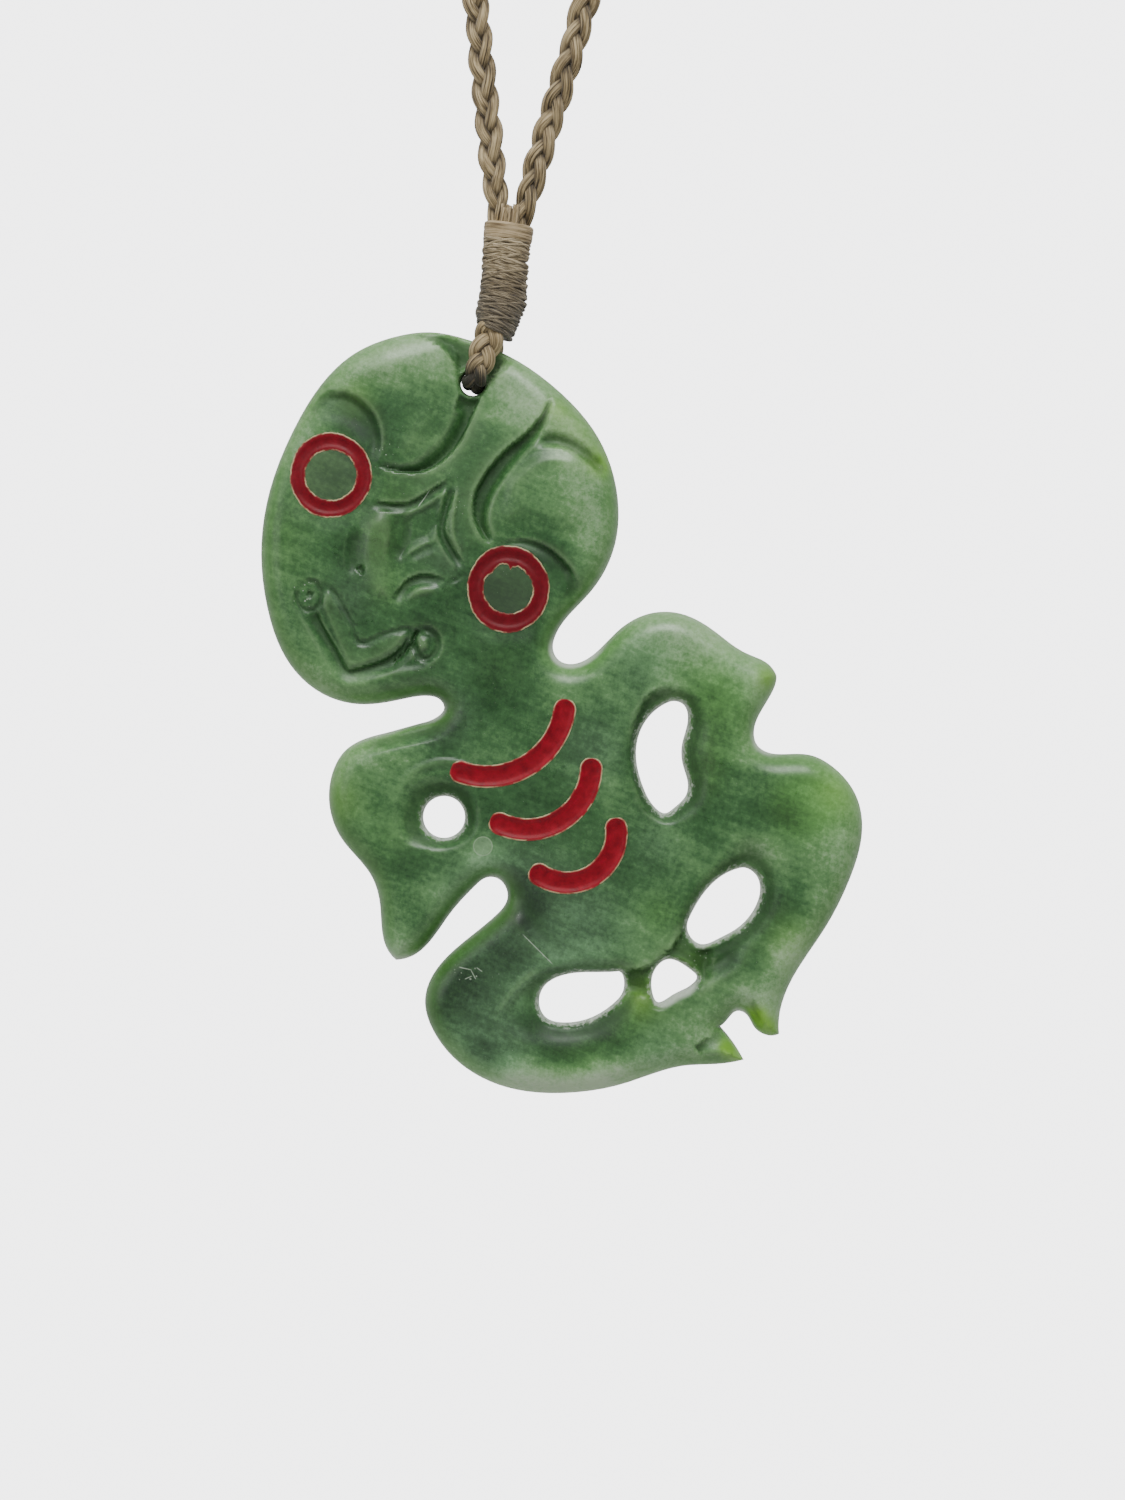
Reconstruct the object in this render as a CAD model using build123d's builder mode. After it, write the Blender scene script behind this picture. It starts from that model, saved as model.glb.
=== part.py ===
from build123d import *
import os
from math import atan2, cos, hypot, pi, radians, sin, sqrt, tan

os.makedirs("parts", exist_ok=True)

# A greenstone hei tiki hanging from a plaited cord. Millimetres, +Z up, the viewer looks along +Y.
# The origin is on the cord's centre line where it rests on the nape of the neck.

# The stone, in front of the neck and below it
tiki_width = 72.2
tiki_height = 91.3
tiki_thickness = 8.0
dome_fall = 0.9
dome_reach = 50.0
edge_round = 1.9
pierce_round = 0.9

# The hanging hole and the hollow around it, in which the cord's two legs lie
hole_radius = 1.45
hole_land = 3.6
hole_rim = 0.3
hollow_radius = 5.8
hollow_flare = 2.0
hole_place = (-19.0, -112.0, -232.0)

# Red wax, let into channels in the face
eye_outer_radius = 4.86
eye_channel = 1.75
wax_depth = 1.0
wax_gap = 0.05
wax_below_face = 0.06
rib_stroke = 2.7
rib_rise = 3.4

# Carved lines
line_width = 1.1
line_depth = 0.7

# The cords
neck_cord_diameter = 3.0
loop_cord_diameter = 2.4
cord_gap = 0.15
arc_share = 0.45
leg_clearance = 0.25
leg_bend_radius = 3.6
leg_bend_height = 4.1
fold_radius = 1.75

# The whipping that binds the cord above the stone
whipping_length = 13.0
whipping_tilt = 8.0
whipping_foot = (2.4, 6.1)
whipping_top_width = 6.0
whipping_top_depth = 5.6
whipping_foot_width = 4.2
whipping_foot_depth = 8.4
stub_diameter = 1.1
stub_height = 1.7
stub_spacing = 1.8

half_thickness = tiki_thickness / 2
blank_half = half_thickness * 1.05
dome_radius = (dome_reach**2 + dome_fall**2) / (2 * dome_fall)

# The outline of the stone, clockwise from the tip of its left hand, in stretches that meet at corners.
# Columns: across as a share of tiki_width and up as a share of tiki_height, both from the hanging hole,
# and ease, the share of edge_round that the edge takes there.
head_and_arms = [
    (-0.128, -0.757, 0.3), (-0.145, -0.739, 0.4), (-0.155, -0.682, 0.8), (-0.170, -0.645, 1.0),
    (-0.219, -0.597, 1.0), (-0.239, -0.552, 1.0), (-0.233, -0.509, 1.0), (-0.213, -0.482, 1.0),
    (-0.176, -0.465, 1.0), (-0.138, -0.457, 0.9), (-0.093, -0.447, 0.8), (-0.057, -0.436, 0.6),
    (-0.048, -0.426, 0.5), (-0.055, -0.415, 0.6), (-0.075, -0.410, 0.8), (-0.121, -0.415, 0.9),
    (-0.191, -0.421, 1.0), (-0.251, -0.407, 1.0), (-0.304, -0.369, 1.0), (-0.342, -0.294, 1.0),
    (-0.352, -0.216, 1.0), (-0.336, -0.135, 1.0), (-0.298, -0.060, 1.0), (-0.243, 0.008, 1.0),
    (-0.199, 0.039, 1.0), (-0.130, 0.062, 1.0), (-0.068, 0.068, 1.0), (-0.007, 0.058, 0.8),
    (0.057, 0.038, 0.8), (0.141, -0.008, 1.0), (0.208, -0.070, 1.0), (0.238, -0.135, 1.0),
    (0.238, -0.205, 1.0), (0.196, -0.273, 1.0), (0.136, -0.333, 0.8), (0.133, -0.348, 0.6),
    (0.143, -0.363, 0.6), (0.163, -0.368, 0.6), (0.183, -0.364, 0.8), (0.244, -0.322, 1.0),
    (0.296, -0.301, 1.0), (0.342, -0.301, 1.0), (0.397, -0.322, 1.0), (0.455, -0.354, 0.7),
    (0.486, -0.365, 0.4), (0.505, -0.384, 0.2),
]
right_thigh = [
    (0.505, -0.384, 0.2), (0.482, -0.426, 0.6), (0.467, -0.457, 0.8), (0.472, -0.474, 0.8),
    (0.490, -0.484, 0.9), (0.527, -0.486, 1.0), (0.563, -0.488, 1.0), (0.595, -0.501, 1.0),
    (0.638, -0.543, 1.0), (0.647, -0.576, 1.0), (0.628, -0.647, 1.0), (0.582, -0.719, 1.0),
    (0.527, -0.787, 0.7), (0.509, -0.832, 0.3), (0.509, -0.854, 0.15),
]
right_foot = [
    (0.509, -0.854, 0.15), (0.489, -0.856, 0.2), (0.467, -0.845, 0.3), (0.452, -0.827, 0.4),
    (0.439, -0.824, 0.4), (0.425, -0.833, 0.4), (0.411, -0.844, 0.3),
]
left_foot = [(0.411, -0.844, 0.3), (0.425, -0.857, 0.25), (0.450, -0.888, 0.15)]
left_thigh = [
    (0.450, -0.888, 0.15), (0.402, -0.894, 0.4), (0.351, -0.896, 0.8), (0.253, -0.919, 1.0),
    (0.151, -0.932, 1.0), (0.050, -0.923, 1.0), (-0.023, -0.892, 1.0), (-0.066, -0.850, 1.0),
    (-0.080, -0.811, 1.0), (-0.073, -0.786, 1.0), (-0.040, -0.750, 1.0), (0.038, -0.698, 0.8),
    (0.057, -0.676, 0.6), (0.052, -0.658, 0.6), (0.038, -0.649, 0.6), (0.022, -0.649, 0.6),
    (0.003, -0.660, 0.7), (-0.037, -0.695, 0.7), (-0.101, -0.752, 0.4), (-0.128, -0.757, 0.3),
]
outline_stretches = [head_and_arms, right_thigh, right_foot, left_foot, left_thigh]

# The pierced gaps between limbs and body. Columns: across and up, as for the outline.
right_arm_gap = [
    (0.326, -0.418), (0.306, -0.427), (0.281, -0.451), (0.271, -0.484), (0.284, -0.532), (0.302, -0.556),
    (0.319, -0.564), (0.334, -0.557), (0.354, -0.540), (0.357, -0.527), (0.349, -0.502), (0.347, -0.474),
    (0.357, -0.439), (0.349, -0.421),
]
right_leg_gap = [
    (0.444, -0.636), (0.416, -0.645), (0.362, -0.697), (0.356, -0.711), (0.362, -0.727), (0.379, -0.736),
    (0.407, -0.729), (0.439, -0.715), (0.469, -0.687), (0.477, -0.665), (0.470, -0.645),
]
left_leg_gap = [
    (0.241, -0.772), (0.189, -0.773), (0.145, -0.778), (0.120, -0.790), (0.110, -0.812), (0.121, -0.832),
    (0.153, -0.839), (0.208, -0.828), (0.236, -0.812), (0.251, -0.791),
]
heel_gap = [
    (0.316, -0.758), (0.306, -0.765), (0.298, -0.799), (0.306, -0.812), (0.331, -0.803), (0.362, -0.790),
    (0.372, -0.779), (0.362, -0.770),
]
gaps = [right_arm_gap, right_leg_gap, left_leg_gap, heel_gap]
left_arm_hole = (-0.048, -0.569)
left_arm_hole_radius = 2.5

# How the rounded edge falls away. Columns: depth as a share of the blank's half thickness,
# and inset as a share of the rounding.
edge_sections = [
    (-1.0, 1.0), (-0.82, 0.42), (-0.6, 0.12), (-0.38, 0.0),
    (0.38, 0.0), (0.6, 0.12), (0.82, 0.42), (1.0, 1.0),
]

# Where the eyes and the middle of the dome lie. Columns: across and up, as for the outline.
eye_places = {"left": (-0.234, -0.122), "right": (0.059, -0.271)}
dome_middle = (0.146, -0.431)

# The carved lines of the face and body. Columns: across and up, as for the outline.
left_brow = [
    (-0.005, -0.050), (-0.003, -0.075), (-0.027, -0.100), (-0.070, -0.118), (-0.118, -0.116), (-0.148, -0.111),
]
right_brow = [
    (0.130, -0.022), (0.128, -0.040), (0.073, -0.089), (0.035, -0.120), (0.012, -0.154), (0.012, -0.188),
    (0.028, -0.203),
]
right_crest = [(0.125, -0.074), (0.150, -0.076), (0.183, -0.085), (0.213, -0.106)]
left_temple = [(-0.203, -0.018), (-0.166, -0.037), (-0.148, -0.062), (-0.147, -0.092)]
right_lid = [(0.030, -0.212), (0.073, -0.203), (0.121, -0.210), (0.155, -0.229), (0.173, -0.246)]
nose_bridge = [(-0.168, -0.158), (-0.118, -0.168), (-0.076, -0.152), (-0.032, -0.128)]
nose_side = [(-0.035, -0.134), (-0.047, -0.176), (-0.050, -0.196), (-0.010, -0.238)]
nostril = [(-0.129, -0.289), (-0.098, -0.259), (-0.070, -0.254), (-0.037, -0.266)]
lower_lip = [(-0.289, -0.297), (-0.246, -0.342), (-0.213, -0.380), (-0.146, -0.376), (-0.090, -0.372)]
upper_lip = [(-0.241, -0.267), (-0.199, -0.312), (-0.183, -0.338), (-0.118, -0.322), (-0.075, -0.319)]
hip_fold = [(0.190, -0.763), (0.262, -0.762), (0.330, -0.742)]
carved_lines = [
    left_brow, right_brow, right_crest, left_temple, right_lid, nose_bridge,
    nose_side, nostril, lower_lip, upper_lip, hip_fold,
]

# The ribs on the chest. Columns: across and up of each rib's point, as for the outline,
# and half its span as a share of tiki_width.
rib_table = [(0.091, -0.501, 0.100), (0.145, -0.573, 0.088), (0.198, -0.645, 0.074)]
body_lean = 31.0

# How the whipping swells. Columns: height as a share of whipping_length, how full its section is there,
# and how far it has gone from the foot's section to the top's.
whipping_sections = [
    (0.0, 0.95, 0.0), (0.08, 1.0, 0.05), (0.4, 1.0, 0.6),
    (0.75, 0.98, 0.9), (0.95, 1.0, 1.0), (1.0, 0.97, 1.0),
]

# The neck cord's route, from the whipping up the left side, round the nape and down the right side
neck_route = [
    (-16.4, -112.0, -213.3),
    (-19.6, -112.0, -178.0),
    (-26.0, -111.5, -135.0),
    (-36.5, -109.0, -90.0),
    (-46.5, -90.0, -54.0),
    (-53.0, -58.0, -28.0),
    (-47.5, -22.0, -10.0),
    (-20.0, 0.0, 0.0),
    (20.0, 0.0, 0.0),
    (47.5, -22.0, -10.0),
    (53.0, -58.0, -28.0),
    (47.0, -90.0, -55.0),
    (31.0, -109.0, -91.0),
    (11.0, -111.5, -134.0),
    (-3.2, -112.0, -178.0),
    (-13.3, -112.0, -213.7),
]


def at(across, up):
    return (across * tiki_width, up * tiki_height)


def face_half(across, up):
    """Half the stone's thickness on the dome at a place."""
    x, z = at(across, up)
    middle_x, middle_z = at(*dome_middle)
    away = hypot(x - middle_x, z - middle_z)
    return half_thickness - dome_radius + sqrt(dome_radius**2 - away**2)


def moved(points, distances):
    """The points, each moved to the right of its way round the ring."""
    result = []
    for i in range(len(points)):
        before = points[i - 1]
        after = points[(i + 1) % len(points)]
        step = (after[0] - before[0], after[1] - before[1])
        share = distances[i] / hypot(*step)
        result.append((points[i][0] + step[1] * share, points[i][1] - step[0] * share))
    return result


def outline_at(inset):
    """The stretches of the outline, with its edge taken in by a share of edge_round."""
    ring = [row for stretch in outline_stretches for row in stretch[:-1]]
    places = [at(across, up) for across, up, ease in ring]
    inner = moved(places, [inset * edge_round * ease for across, up, ease in ring])
    inner.append(inner[0])
    start = 0
    for stretch in outline_stretches:
        yield inner[start : start + len(stretch)]
        start += len(stretch) - 1


def gap_at(gap, outset):
    """A gap's outline, widened by a share of pierce_round. The rows run anticlockwise."""
    places = [at(across, up) for across, up in gap]
    return moved(places, [outset * pierce_round] * len(places))


def rib_bow(across, up, span):
    """The curved centre line of a chest rib, square to the body's lean."""
    x, z = at(across, up)
    lean = radians(body_lean)
    half = span * tiki_width
    left_end = (x - half * cos(lean) - rib_rise * sin(lean), z - half * sin(lean) + rib_rise * cos(lean))
    right_end = (x + half * cos(lean) - rib_rise * sin(lean), z + half * sin(lean) + rib_rise * cos(lean))
    return Edge.make_three_point_arc(left_end, (x, z), right_end)


def arc_radii(points):
    """The arc at each corner of a route, as large as its two runs allow."""
    radii = []
    for before, corner, after in zip(points, points[1:], points[2:]):
        run_in = Vector(*corner) - Vector(*before)
        run_out = Vector(*after) - Vector(*corner)
        half_turn = radians(run_in.get_angle(run_out)) / 2
        radii.append(arc_share * min(run_in.length, run_out.length) / tan(half_turn))
    return radii


# The stone's mid plane through the hanging hole, and the whipping's foot with its lean
stone_plane = Plane(origin=hole_place, x_dir=(1, 0, 0), z_dir=(0, -1, 0))
whipping_lean = radians(whipping_tilt)
whipping_plane = Plane(
    origin=(hole_place[0] + whipping_foot[0], hole_place[1], hole_place[2] + whipping_foot[1]),
    x_dir=(cos(whipping_lean), 0, -sin(whipping_lean)),
    z_dir=(sin(whipping_lean), 0, cos(whipping_lean)),
)


def front_at(across, up, below=0.0):
    """The plane that lies below the stone's face at a place."""
    return stone_plane.offset(face_half(across, up) - below)


# The stone: a blank lofted through its outline, domed on both faces, pierced, hollowed and carved
with BuildPart() as tiki_stone:
    for depth, inset in edge_sections:
        with BuildSketch(stone_plane.offset(depth * blank_half)):
            with BuildLine():
                for stretch in outline_at(inset):
                    Spline(*stretch)
            make_face()
    loft(ruled=True)

    middle_x, middle_z = at(*dome_middle)
    for side in (-1, 1):
        dome_plane = stone_plane.offset(side * (half_thickness - dome_radius))
        dome_centre = dome_plane.from_local_coords((middle_x, middle_z))
        with Locations(dome_centre):
            Sphere(dome_radius, mode=Mode.INTERSECT)

    for gap in gaps:
        for depth, outset in edge_sections:
            with BuildSketch(stone_plane.offset(depth * blank_half)):
                with BuildLine():
                    Spline(*gap_at(gap, outset), periodic=True)
                make_face()
        loft(ruled=True, mode=Mode.SUBTRACT)

    for depth, outset in edge_sections:
        with BuildSketch(stone_plane.offset(depth * blank_half)):
            with Locations(at(*left_arm_hole)):
                Circle(left_arm_hole_radius + outset * pierce_round)
    loft(ruled=True, mode=Mode.SUBTRACT)

    # The hollow round the hanging hole, the hole itself and its eased rims
    for side in (-1, 1):
        with BuildSketch(stone_plane.offset(side * hole_land / 2)):
            Circle(hollow_radius)
        with BuildSketch(stone_plane.offset(side * (hole_land / 2 + hollow_flare))):
            Circle(hollow_radius + hollow_flare)
        loft(mode=Mode.SUBTRACT)
    with BuildSketch(stone_plane):
        Circle(hole_radius)
    extrude(amount=hole_land, both=True, mode=Mode.SUBTRACT)
    for side in (-1, 1):
        with BuildSketch(stone_plane.offset(side * (hole_land / 2 - hole_rim))):
            Circle(hole_radius)
        with BuildSketch(stone_plane.offset(side * (hole_land / 2 + hole_rim))):
            Circle(hole_radius + 2 * hole_rim)
        loft(mode=Mode.SUBTRACT)

    for across, up in eye_places.values():
        with BuildSketch(front_at(across, up, wax_depth)):
            with Locations(at(across, up)):
                Circle(eye_outer_radius)
                Circle(eye_outer_radius - eye_channel, mode=Mode.SUBTRACT)
        extrude(amount=2 * wax_depth, mode=Mode.SUBTRACT)

    for across, up, span in rib_table:
        with BuildSketch(front_at(across, up, wax_depth)):
            SlotArc(rib_bow(across, up, span), rib_stroke)
        extrude(amount=2 * wax_depth, mode=Mode.SUBTRACT)

    for carved_line in carved_lines:
        middle = carved_line[len(carved_line) // 2]
        with BuildSketch(front_at(*middle, line_depth)):
            with BuildLine():
                Spline(*[at(across, up) for across, up in carved_line])
            trace(line_width=line_width)
        extrude(amount=3 * line_depth, mode=Mode.SUBTRACT)
tiki_stone.part.label = "tiki_stone"
export_step(tiki_stone.part, "parts/tiki_stone.step")

# The wax rings of the eyes
for side, (across, up) in eye_places.items():
    with BuildPart() as eye_ring:
        with BuildSketch(front_at(across, up, wax_depth - wax_gap)):
            with Locations(at(across, up)):
                Circle(eye_outer_radius - wax_gap)
                Circle(eye_outer_radius - eye_channel + wax_gap, mode=Mode.SUBTRACT)
        extrude(amount=wax_depth - wax_gap - wax_below_face)
    eye_ring.part.label = "eye_ring_" + side
    export_step(eye_ring.part, "parts/eye_ring_" + side + ".step")

# The wax ribs of the chest, from the top one down
for number, (across, up, span) in enumerate(rib_table, start=1):
    with BuildPart() as chest_rib:
        with BuildSketch(front_at(across, up, wax_depth - wax_gap)):
            SlotArc(rib_bow(across, up, span), rib_stroke - 2 * wax_gap)
        extrude(amount=wax_depth - wax_gap - wax_below_face)
    chest_rib.part.label = "chest_rib_" + str(number)
    export_step(chest_rib.part, "parts/chest_rib_" + str(number) + ".step")

# The loop of cord through the stone: a leg on each face, both ending under the whipping
loop_radius = loop_cord_diameter / 2
leg_away = hole_land / 2 + leg_clearance + loop_radius
loop_reach = hypot(*whipping_foot)
loop_lean = atan2(whipping_foot[0], whipping_foot[1])
loop_plane = Plane(origin=hole_place, x_dir=(0, 1, 0), z_dir=(cos(loop_lean), 0, -sin(loop_lean)))
leg_top_away = whipping_foot_depth / 2 - cord_gap - loop_radius
legs = [
    (-leg_top_away, loop_reach + loop_radius),
    (-leg_away, leg_bend_height),
    (-leg_away, 0),
    (leg_away, 0),
    (leg_away, leg_bend_height),
    (leg_top_away, loop_reach + loop_radius),
]
with BuildPart() as hanging_loop:
    with BuildLine(loop_plane) as loop_path:
        FilletPolyline(*legs, radius=[leg_bend_radius, fold_radius, fold_radius, leg_bend_radius])
    with BuildSketch(Plane(origin=loop_path.wire() @ 0, z_dir=loop_path.wire() % 0)):
        Circle(loop_radius)
    sweep()
    split(bisect_by=whipping_plane.offset(-cord_gap), keep=Keep.BOTTOM)
hanging_loop.part.label = "hanging_loop"
export_step(hanging_loop.part, "parts/hanging_loop.step")

# The whipping: a bound sleeve, deep at its foot where it grips both legs and wide at its top,
# with two cut ends of its thread standing in front of the neck cord
with BuildPart() as whipping:
    for height, grip, mix in whipping_sections:
        width = whipping_foot_width + (whipping_top_width - whipping_foot_width) * mix
        depth = whipping_foot_depth + (whipping_top_depth - whipping_foot_depth) * mix
        with BuildSketch(whipping_plane.offset(height * whipping_length)):
            Ellipse(width / 2 * grip, depth / 2 * grip)
    loft()
    with BuildSketch(whipping_plane.offset(whipping_length - stub_height)):
        stub_front = -(neck_cord_diameter / 2 + cord_gap + stub_diameter / 2)
        with Locations((-stub_spacing / 2, stub_front), (stub_spacing / 2, stub_front)):
            Circle(stub_diameter / 2)
    extrude(amount=2 * stub_height)
whipping.part.label = "whipping"
export_step(whipping.part, "parts/whipping.step")

# The neck cord: one tube along its route, cut flush above the whipping
neck_radii = arc_radii(neck_route)
with BuildPart() as neck_cord:
    with BuildLine() as neck_path:
        FilletPolyline(*neck_route, radius=neck_radii)
    with BuildSketch(Plane(origin=neck_path.wire() @ 0, z_dir=neck_path.wire() % 0)):
        Circle(neck_cord_diameter / 2)
    sweep()
    tube_volume = neck_cord.part.volume
    split(bisect_by=whipping_plane.offset(whipping_length + cord_gap), keep=Keep.TOP)
neck_cord.part.label = "neck_cord"
export_step(neck_cord.part, "parts/neck_cord.step")

neck_length = neck_path.wire().length
print("neck cord radii", [round(radius) for radius in neck_radii])
print("neck cord length", round(neck_length, 1))
section_area = pi * neck_cord_diameter**2 / 4
print("neck cord volume over section times length", round(tube_volume / (section_area * neck_length), 4))
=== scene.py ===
import math
import random

import bmesh
import bpy
import numpy as np
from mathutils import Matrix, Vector
from mathutils.geometry import delaunay_2d_cdt


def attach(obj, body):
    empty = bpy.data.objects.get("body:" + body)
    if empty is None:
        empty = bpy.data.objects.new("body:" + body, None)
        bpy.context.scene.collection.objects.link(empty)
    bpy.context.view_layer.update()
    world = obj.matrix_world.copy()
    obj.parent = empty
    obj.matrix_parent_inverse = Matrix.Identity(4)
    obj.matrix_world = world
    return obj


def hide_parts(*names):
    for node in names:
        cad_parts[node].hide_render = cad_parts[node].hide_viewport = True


# A greenstone hei tiki on its plaited flax cord. Lengths here are millimetres until a mesh is made.
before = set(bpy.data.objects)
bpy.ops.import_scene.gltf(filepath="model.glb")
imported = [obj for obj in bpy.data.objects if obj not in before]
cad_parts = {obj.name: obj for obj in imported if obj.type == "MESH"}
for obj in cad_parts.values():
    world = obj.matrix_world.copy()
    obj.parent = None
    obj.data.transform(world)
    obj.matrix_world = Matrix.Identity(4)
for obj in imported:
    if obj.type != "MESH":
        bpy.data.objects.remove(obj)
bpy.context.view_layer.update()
mm = 0.001
hole = np.array([-19.0, -112.0, -232.0])  # middle of the hanging hole
print("frame loaded")


# an sRGB hex colour in linear light
def toLinear(hexColour):
    parts = [int(hexColour[i:i + 2], 16) / 255 for i in (1, 3, 5)]
    return [c / 12.92 if c <= 0.04045 else ((c + 0.055) / 1.055) ** 2.4 for c in parts] + [1.0]


# a node with its settings, its inputs' links or values, and a ramp's stops
def addNode(tree, kind, settings=None, inputs=None, stops=None):
    node = tree.nodes.new(kind)
    for name, value in (settings or {}).items():
        setattr(node, name, value)
    for name, value in (inputs or {}).items():
        if isinstance(value, bpy.types.NodeSocket):
            tree.links.new(value, node.inputs[name])
        else:
            node.inputs[name].default_value = value
    if stops:
        marks = node.color_ramp.elements
        while len(marks) < len(stops):
            marks.new(0.5)
        for mark, (place, colour) in zip(marks, stops):
            mark.position, mark.color = place, toLinear(colour)
    return node


def newMaterial(name):
    material = bpy.data.materials.new(name)
    material.use_nodes = True
    material.node_tree.nodes.clear()
    return material, material.node_tree


def finishMaterial(tree, shader):
    addNode(tree, "ShaderNodeOutputMaterial", inputs={"Surface": shader.outputs[0]})


# a smooth-shaded piece of points in mm
def makeMesh(name, points, faces, attributes=None, uvs=None, normals=None):
    mesh = bpy.data.meshes.new(name)
    mesh.from_pydata((np.asarray(points) * mm).tolist(), [], [tuple(int(i) for i in face) for face in faces])
    mesh.validate()
    mesh.update()
    mesh.polygons.foreach_set("use_smooth", np.ones(len(mesh.polygons), bool))
    for key, values in (attributes or {}).items():
        attribute = mesh.attributes.new(key, "FLOAT", "POINT")
        attribute.data.foreach_set("value", np.asarray(values, np.float32))
    if uvs is not None:
        layer = mesh.uv_layers.new(name="fibre")
        loopVerts = np.zeros(len(mesh.loops), np.int64)
        mesh.loops.foreach_get("vertex_index", loopVerts)
        layer.data.foreach_set("uv", np.asarray(uvs, np.float32)[loopVerts].ravel())
    if normals is not None:
        mesh.normals_split_custom_set_from_vertices(normals.tolist())
    piece = bpy.data.objects.new(name, mesh)
    bpy.context.scene.collection.objects.link(piece)
    return piece


# each row made one long
def unit(vectors):
    return vectors / np.linalg.norm(vectors, axis=1)[:, None]


# how far along a line each of its points is
def lengthsAlong(line):
    return np.r_[0, np.cumsum(np.linalg.norm(np.diff(line, axis=0), axis=1))]


# the same line with even steps
def evenLine(points, step):
    lengths = lengthsAlong(points)
    count = max(2, int(round(lengths[-1] / step)) + 1)
    at = np.linspace(0, lengths[-1], count)
    return np.stack([np.interp(at, lengths, points[:, k]) for k in range(points.shape[1])], axis=1)


# points evenly spaced along a smooth line through the given ones
def smoothLine(points, step):
    given = np.asarray(points, float)
    dense = []
    for i in range(len(given) - 1):
        b, c = given[i], given[i + 1]
        a = given[i - 1] if i else 2 * b - c
        d = given[i + 2] if i + 2 < len(given) else 2 * c - b
        for t in np.linspace(0, 1, 12, endpoint=False):
            bend, twist = 2 * a - 5 * b + 4 * c - d, 3 * b - a - 3 * c + d
            dense.append(0.5 * (2 * b + (c - a) * t + bend * t**2 + twist * t**3))
    dense.append(given[-1])
    return evenLine(np.array(dense), step)


batch = {"points": 3000, "edges": 200}      # how many are compared at once, to spare memory


# each point's distance to a line's segments, the side it is on, and how many segments along the nearest spot is
def lineDistance(points, starts, ends):
    along = ends - starts
    length2 = np.maximum((along**2).sum(1), 1e-12)
    distance = np.empty(len(points))
    nearest = np.empty(len(points), int)
    share = np.empty(len(points))
    for low in range(0, len(points), batch["points"]):
        high = low + batch["points"]
        chunk = points[low:high]
        dx = chunk[:, 0:1] - starts[None, :, 0]
        dz = chunk[:, 1:2] - starts[None, :, 1]
        t = np.clip((dx * along[:, 0] + dz * along[:, 1]) / length2, 0, 1)
        gap2 = (dx - t * along[:, 0]) ** 2 + (dz - t * along[:, 1]) ** 2
        best = gap2.argmin(1)
        rows = np.arange(len(chunk))
        distance[low:high] = np.sqrt(gap2[rows, best])
        nearest[low:high] = best
        share[low:high] = t[rows, best]
    away = points - starts[nearest]
    side = np.sign(along[nearest, 0] * away[:, 1] - along[nearest, 1] * away[:, 0])
    return distance, side, nearest + share


# whether each point lies in an odd number of the loops
def insideLoops(points, loops):
    inside = np.zeros(len(points), bool)
    x, z = points[:, 0], points[:, 1]
    for loop in loops:
        for low in range(0, len(loop), batch["edges"]):
            high = low + batch["edges"]
            a = loop[low:high]
            b = np.roll(loop, -1, axis=0)[low:high]
            crosses = (a[None, :, 1] > z[:, None]) != (b[None, :, 1] > z[:, None])
            rise = b[:, 1] - a[:, 1]
            slope = (b[:, 0] - a[:, 0]) / np.where(np.abs(rise) < 1e-12, 1e-12, rise)
            crossX = a[None, :, 0] + (z[:, None] - a[None, :, 1]) * slope[None]
            inside ^= (crosses & (x[:, None] < crossX)).sum(1) % 2 == 1
    return inside


# from 0 at low to 1 at high, level at both ends
def smoothStep(value, low=0.0, high=1.0):
    t = np.clip((value - low) / (high - low), 0, 1)
    return t * t * (3 - 2 * t)


# the lower of two, rounded where they cross
def softMin(a, b, blend):
    h = np.clip(0.5 + 0.5 * (b - a) / blend, 0, 1)
    return b * (1 - h) + a * h - blend * h * (1 - h)


stone = {
    "halfThickness": 4.0,
    "domeFall": 0.9, "domeReach": 50.0, "domeMiddle": (10.5, -39.4),
    "edgeRound": 3.1, "edgePower": 2.0,      # width and fullness of the outer edge's rounding
    "landRound": 0.5, "gapPower": 2.3,       # the width at the hanging hole, and the fullness there and at the gaps
    "carveFade": 1.2,        # the carving runs out over this width at every edge
    "leastHeight": 0.9,      # and stops this far in front of the stone's middle plane
    "wedgePower": 1.3, "wedgeEnds": 1.5,     # how a wedge's floor comes back to the face, and its soft border
    "sketchStep": 0.3, "boundaryStep": 0.34, "holeStep": 0.2, "holeArea": 15, "cornerTurn": 32,
    "rings": (0.02, 0.09, 0.22, 0.42, 0.7, 1.05, 1.45, 1.9),      # rows of points inside each edge
    "frontStep": 0.30, "backStep": 0.62,     # of the points between
    "clearOfWax": 0.13, "ringsClearOfWax": 0.10,
    "onEdge": 0.015, "probe": 0.04,          # for the normals: what counts as the edge, and the step over a slope
    # where the cord's legs lie: limits in degrees clockwise from straight up, the room to each side of them,
    # how thick the stone is under them and how it rises from there
    "cordAngles": (1.5, 41.5), "cordRoom": 1.42, "cordLand": 1.78, "cordSlope": 1.3, "cordBlend": 0.25,
    "hollowDepth": 1.0, "hollowReach": 9.0,
    "plug": (1.26, -3.9, -55.38),            # a drilled spot, from the hole
}

# Round the pierced gaps: middle of the gap from the hole, and how wide its rounded edge is
gapRounds = [
    ((-3.5, -52.0), 1.9), ((23.3, -44.5), 1.7), ((29.7, -62.4), 1.9), ((13.0, -73.3), 2.4), ((23.7, -71.6), 1.2),
]

# Sketches of the carving, read off an enlarged view: x to the right and y down, in steps of a fixed size.
# Each stroke: depth in mm (below nought it is raised), width to its left and right as the line runs, mm,
# share of its length over which each end fades, and its points.
headSketch = {"step": 0.12 / 4.073, "hole": (888.0, 240.3)}
bodySketch = {"step": 0.12 / 2.851, "hole": (436.2, -615.8)}

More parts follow.
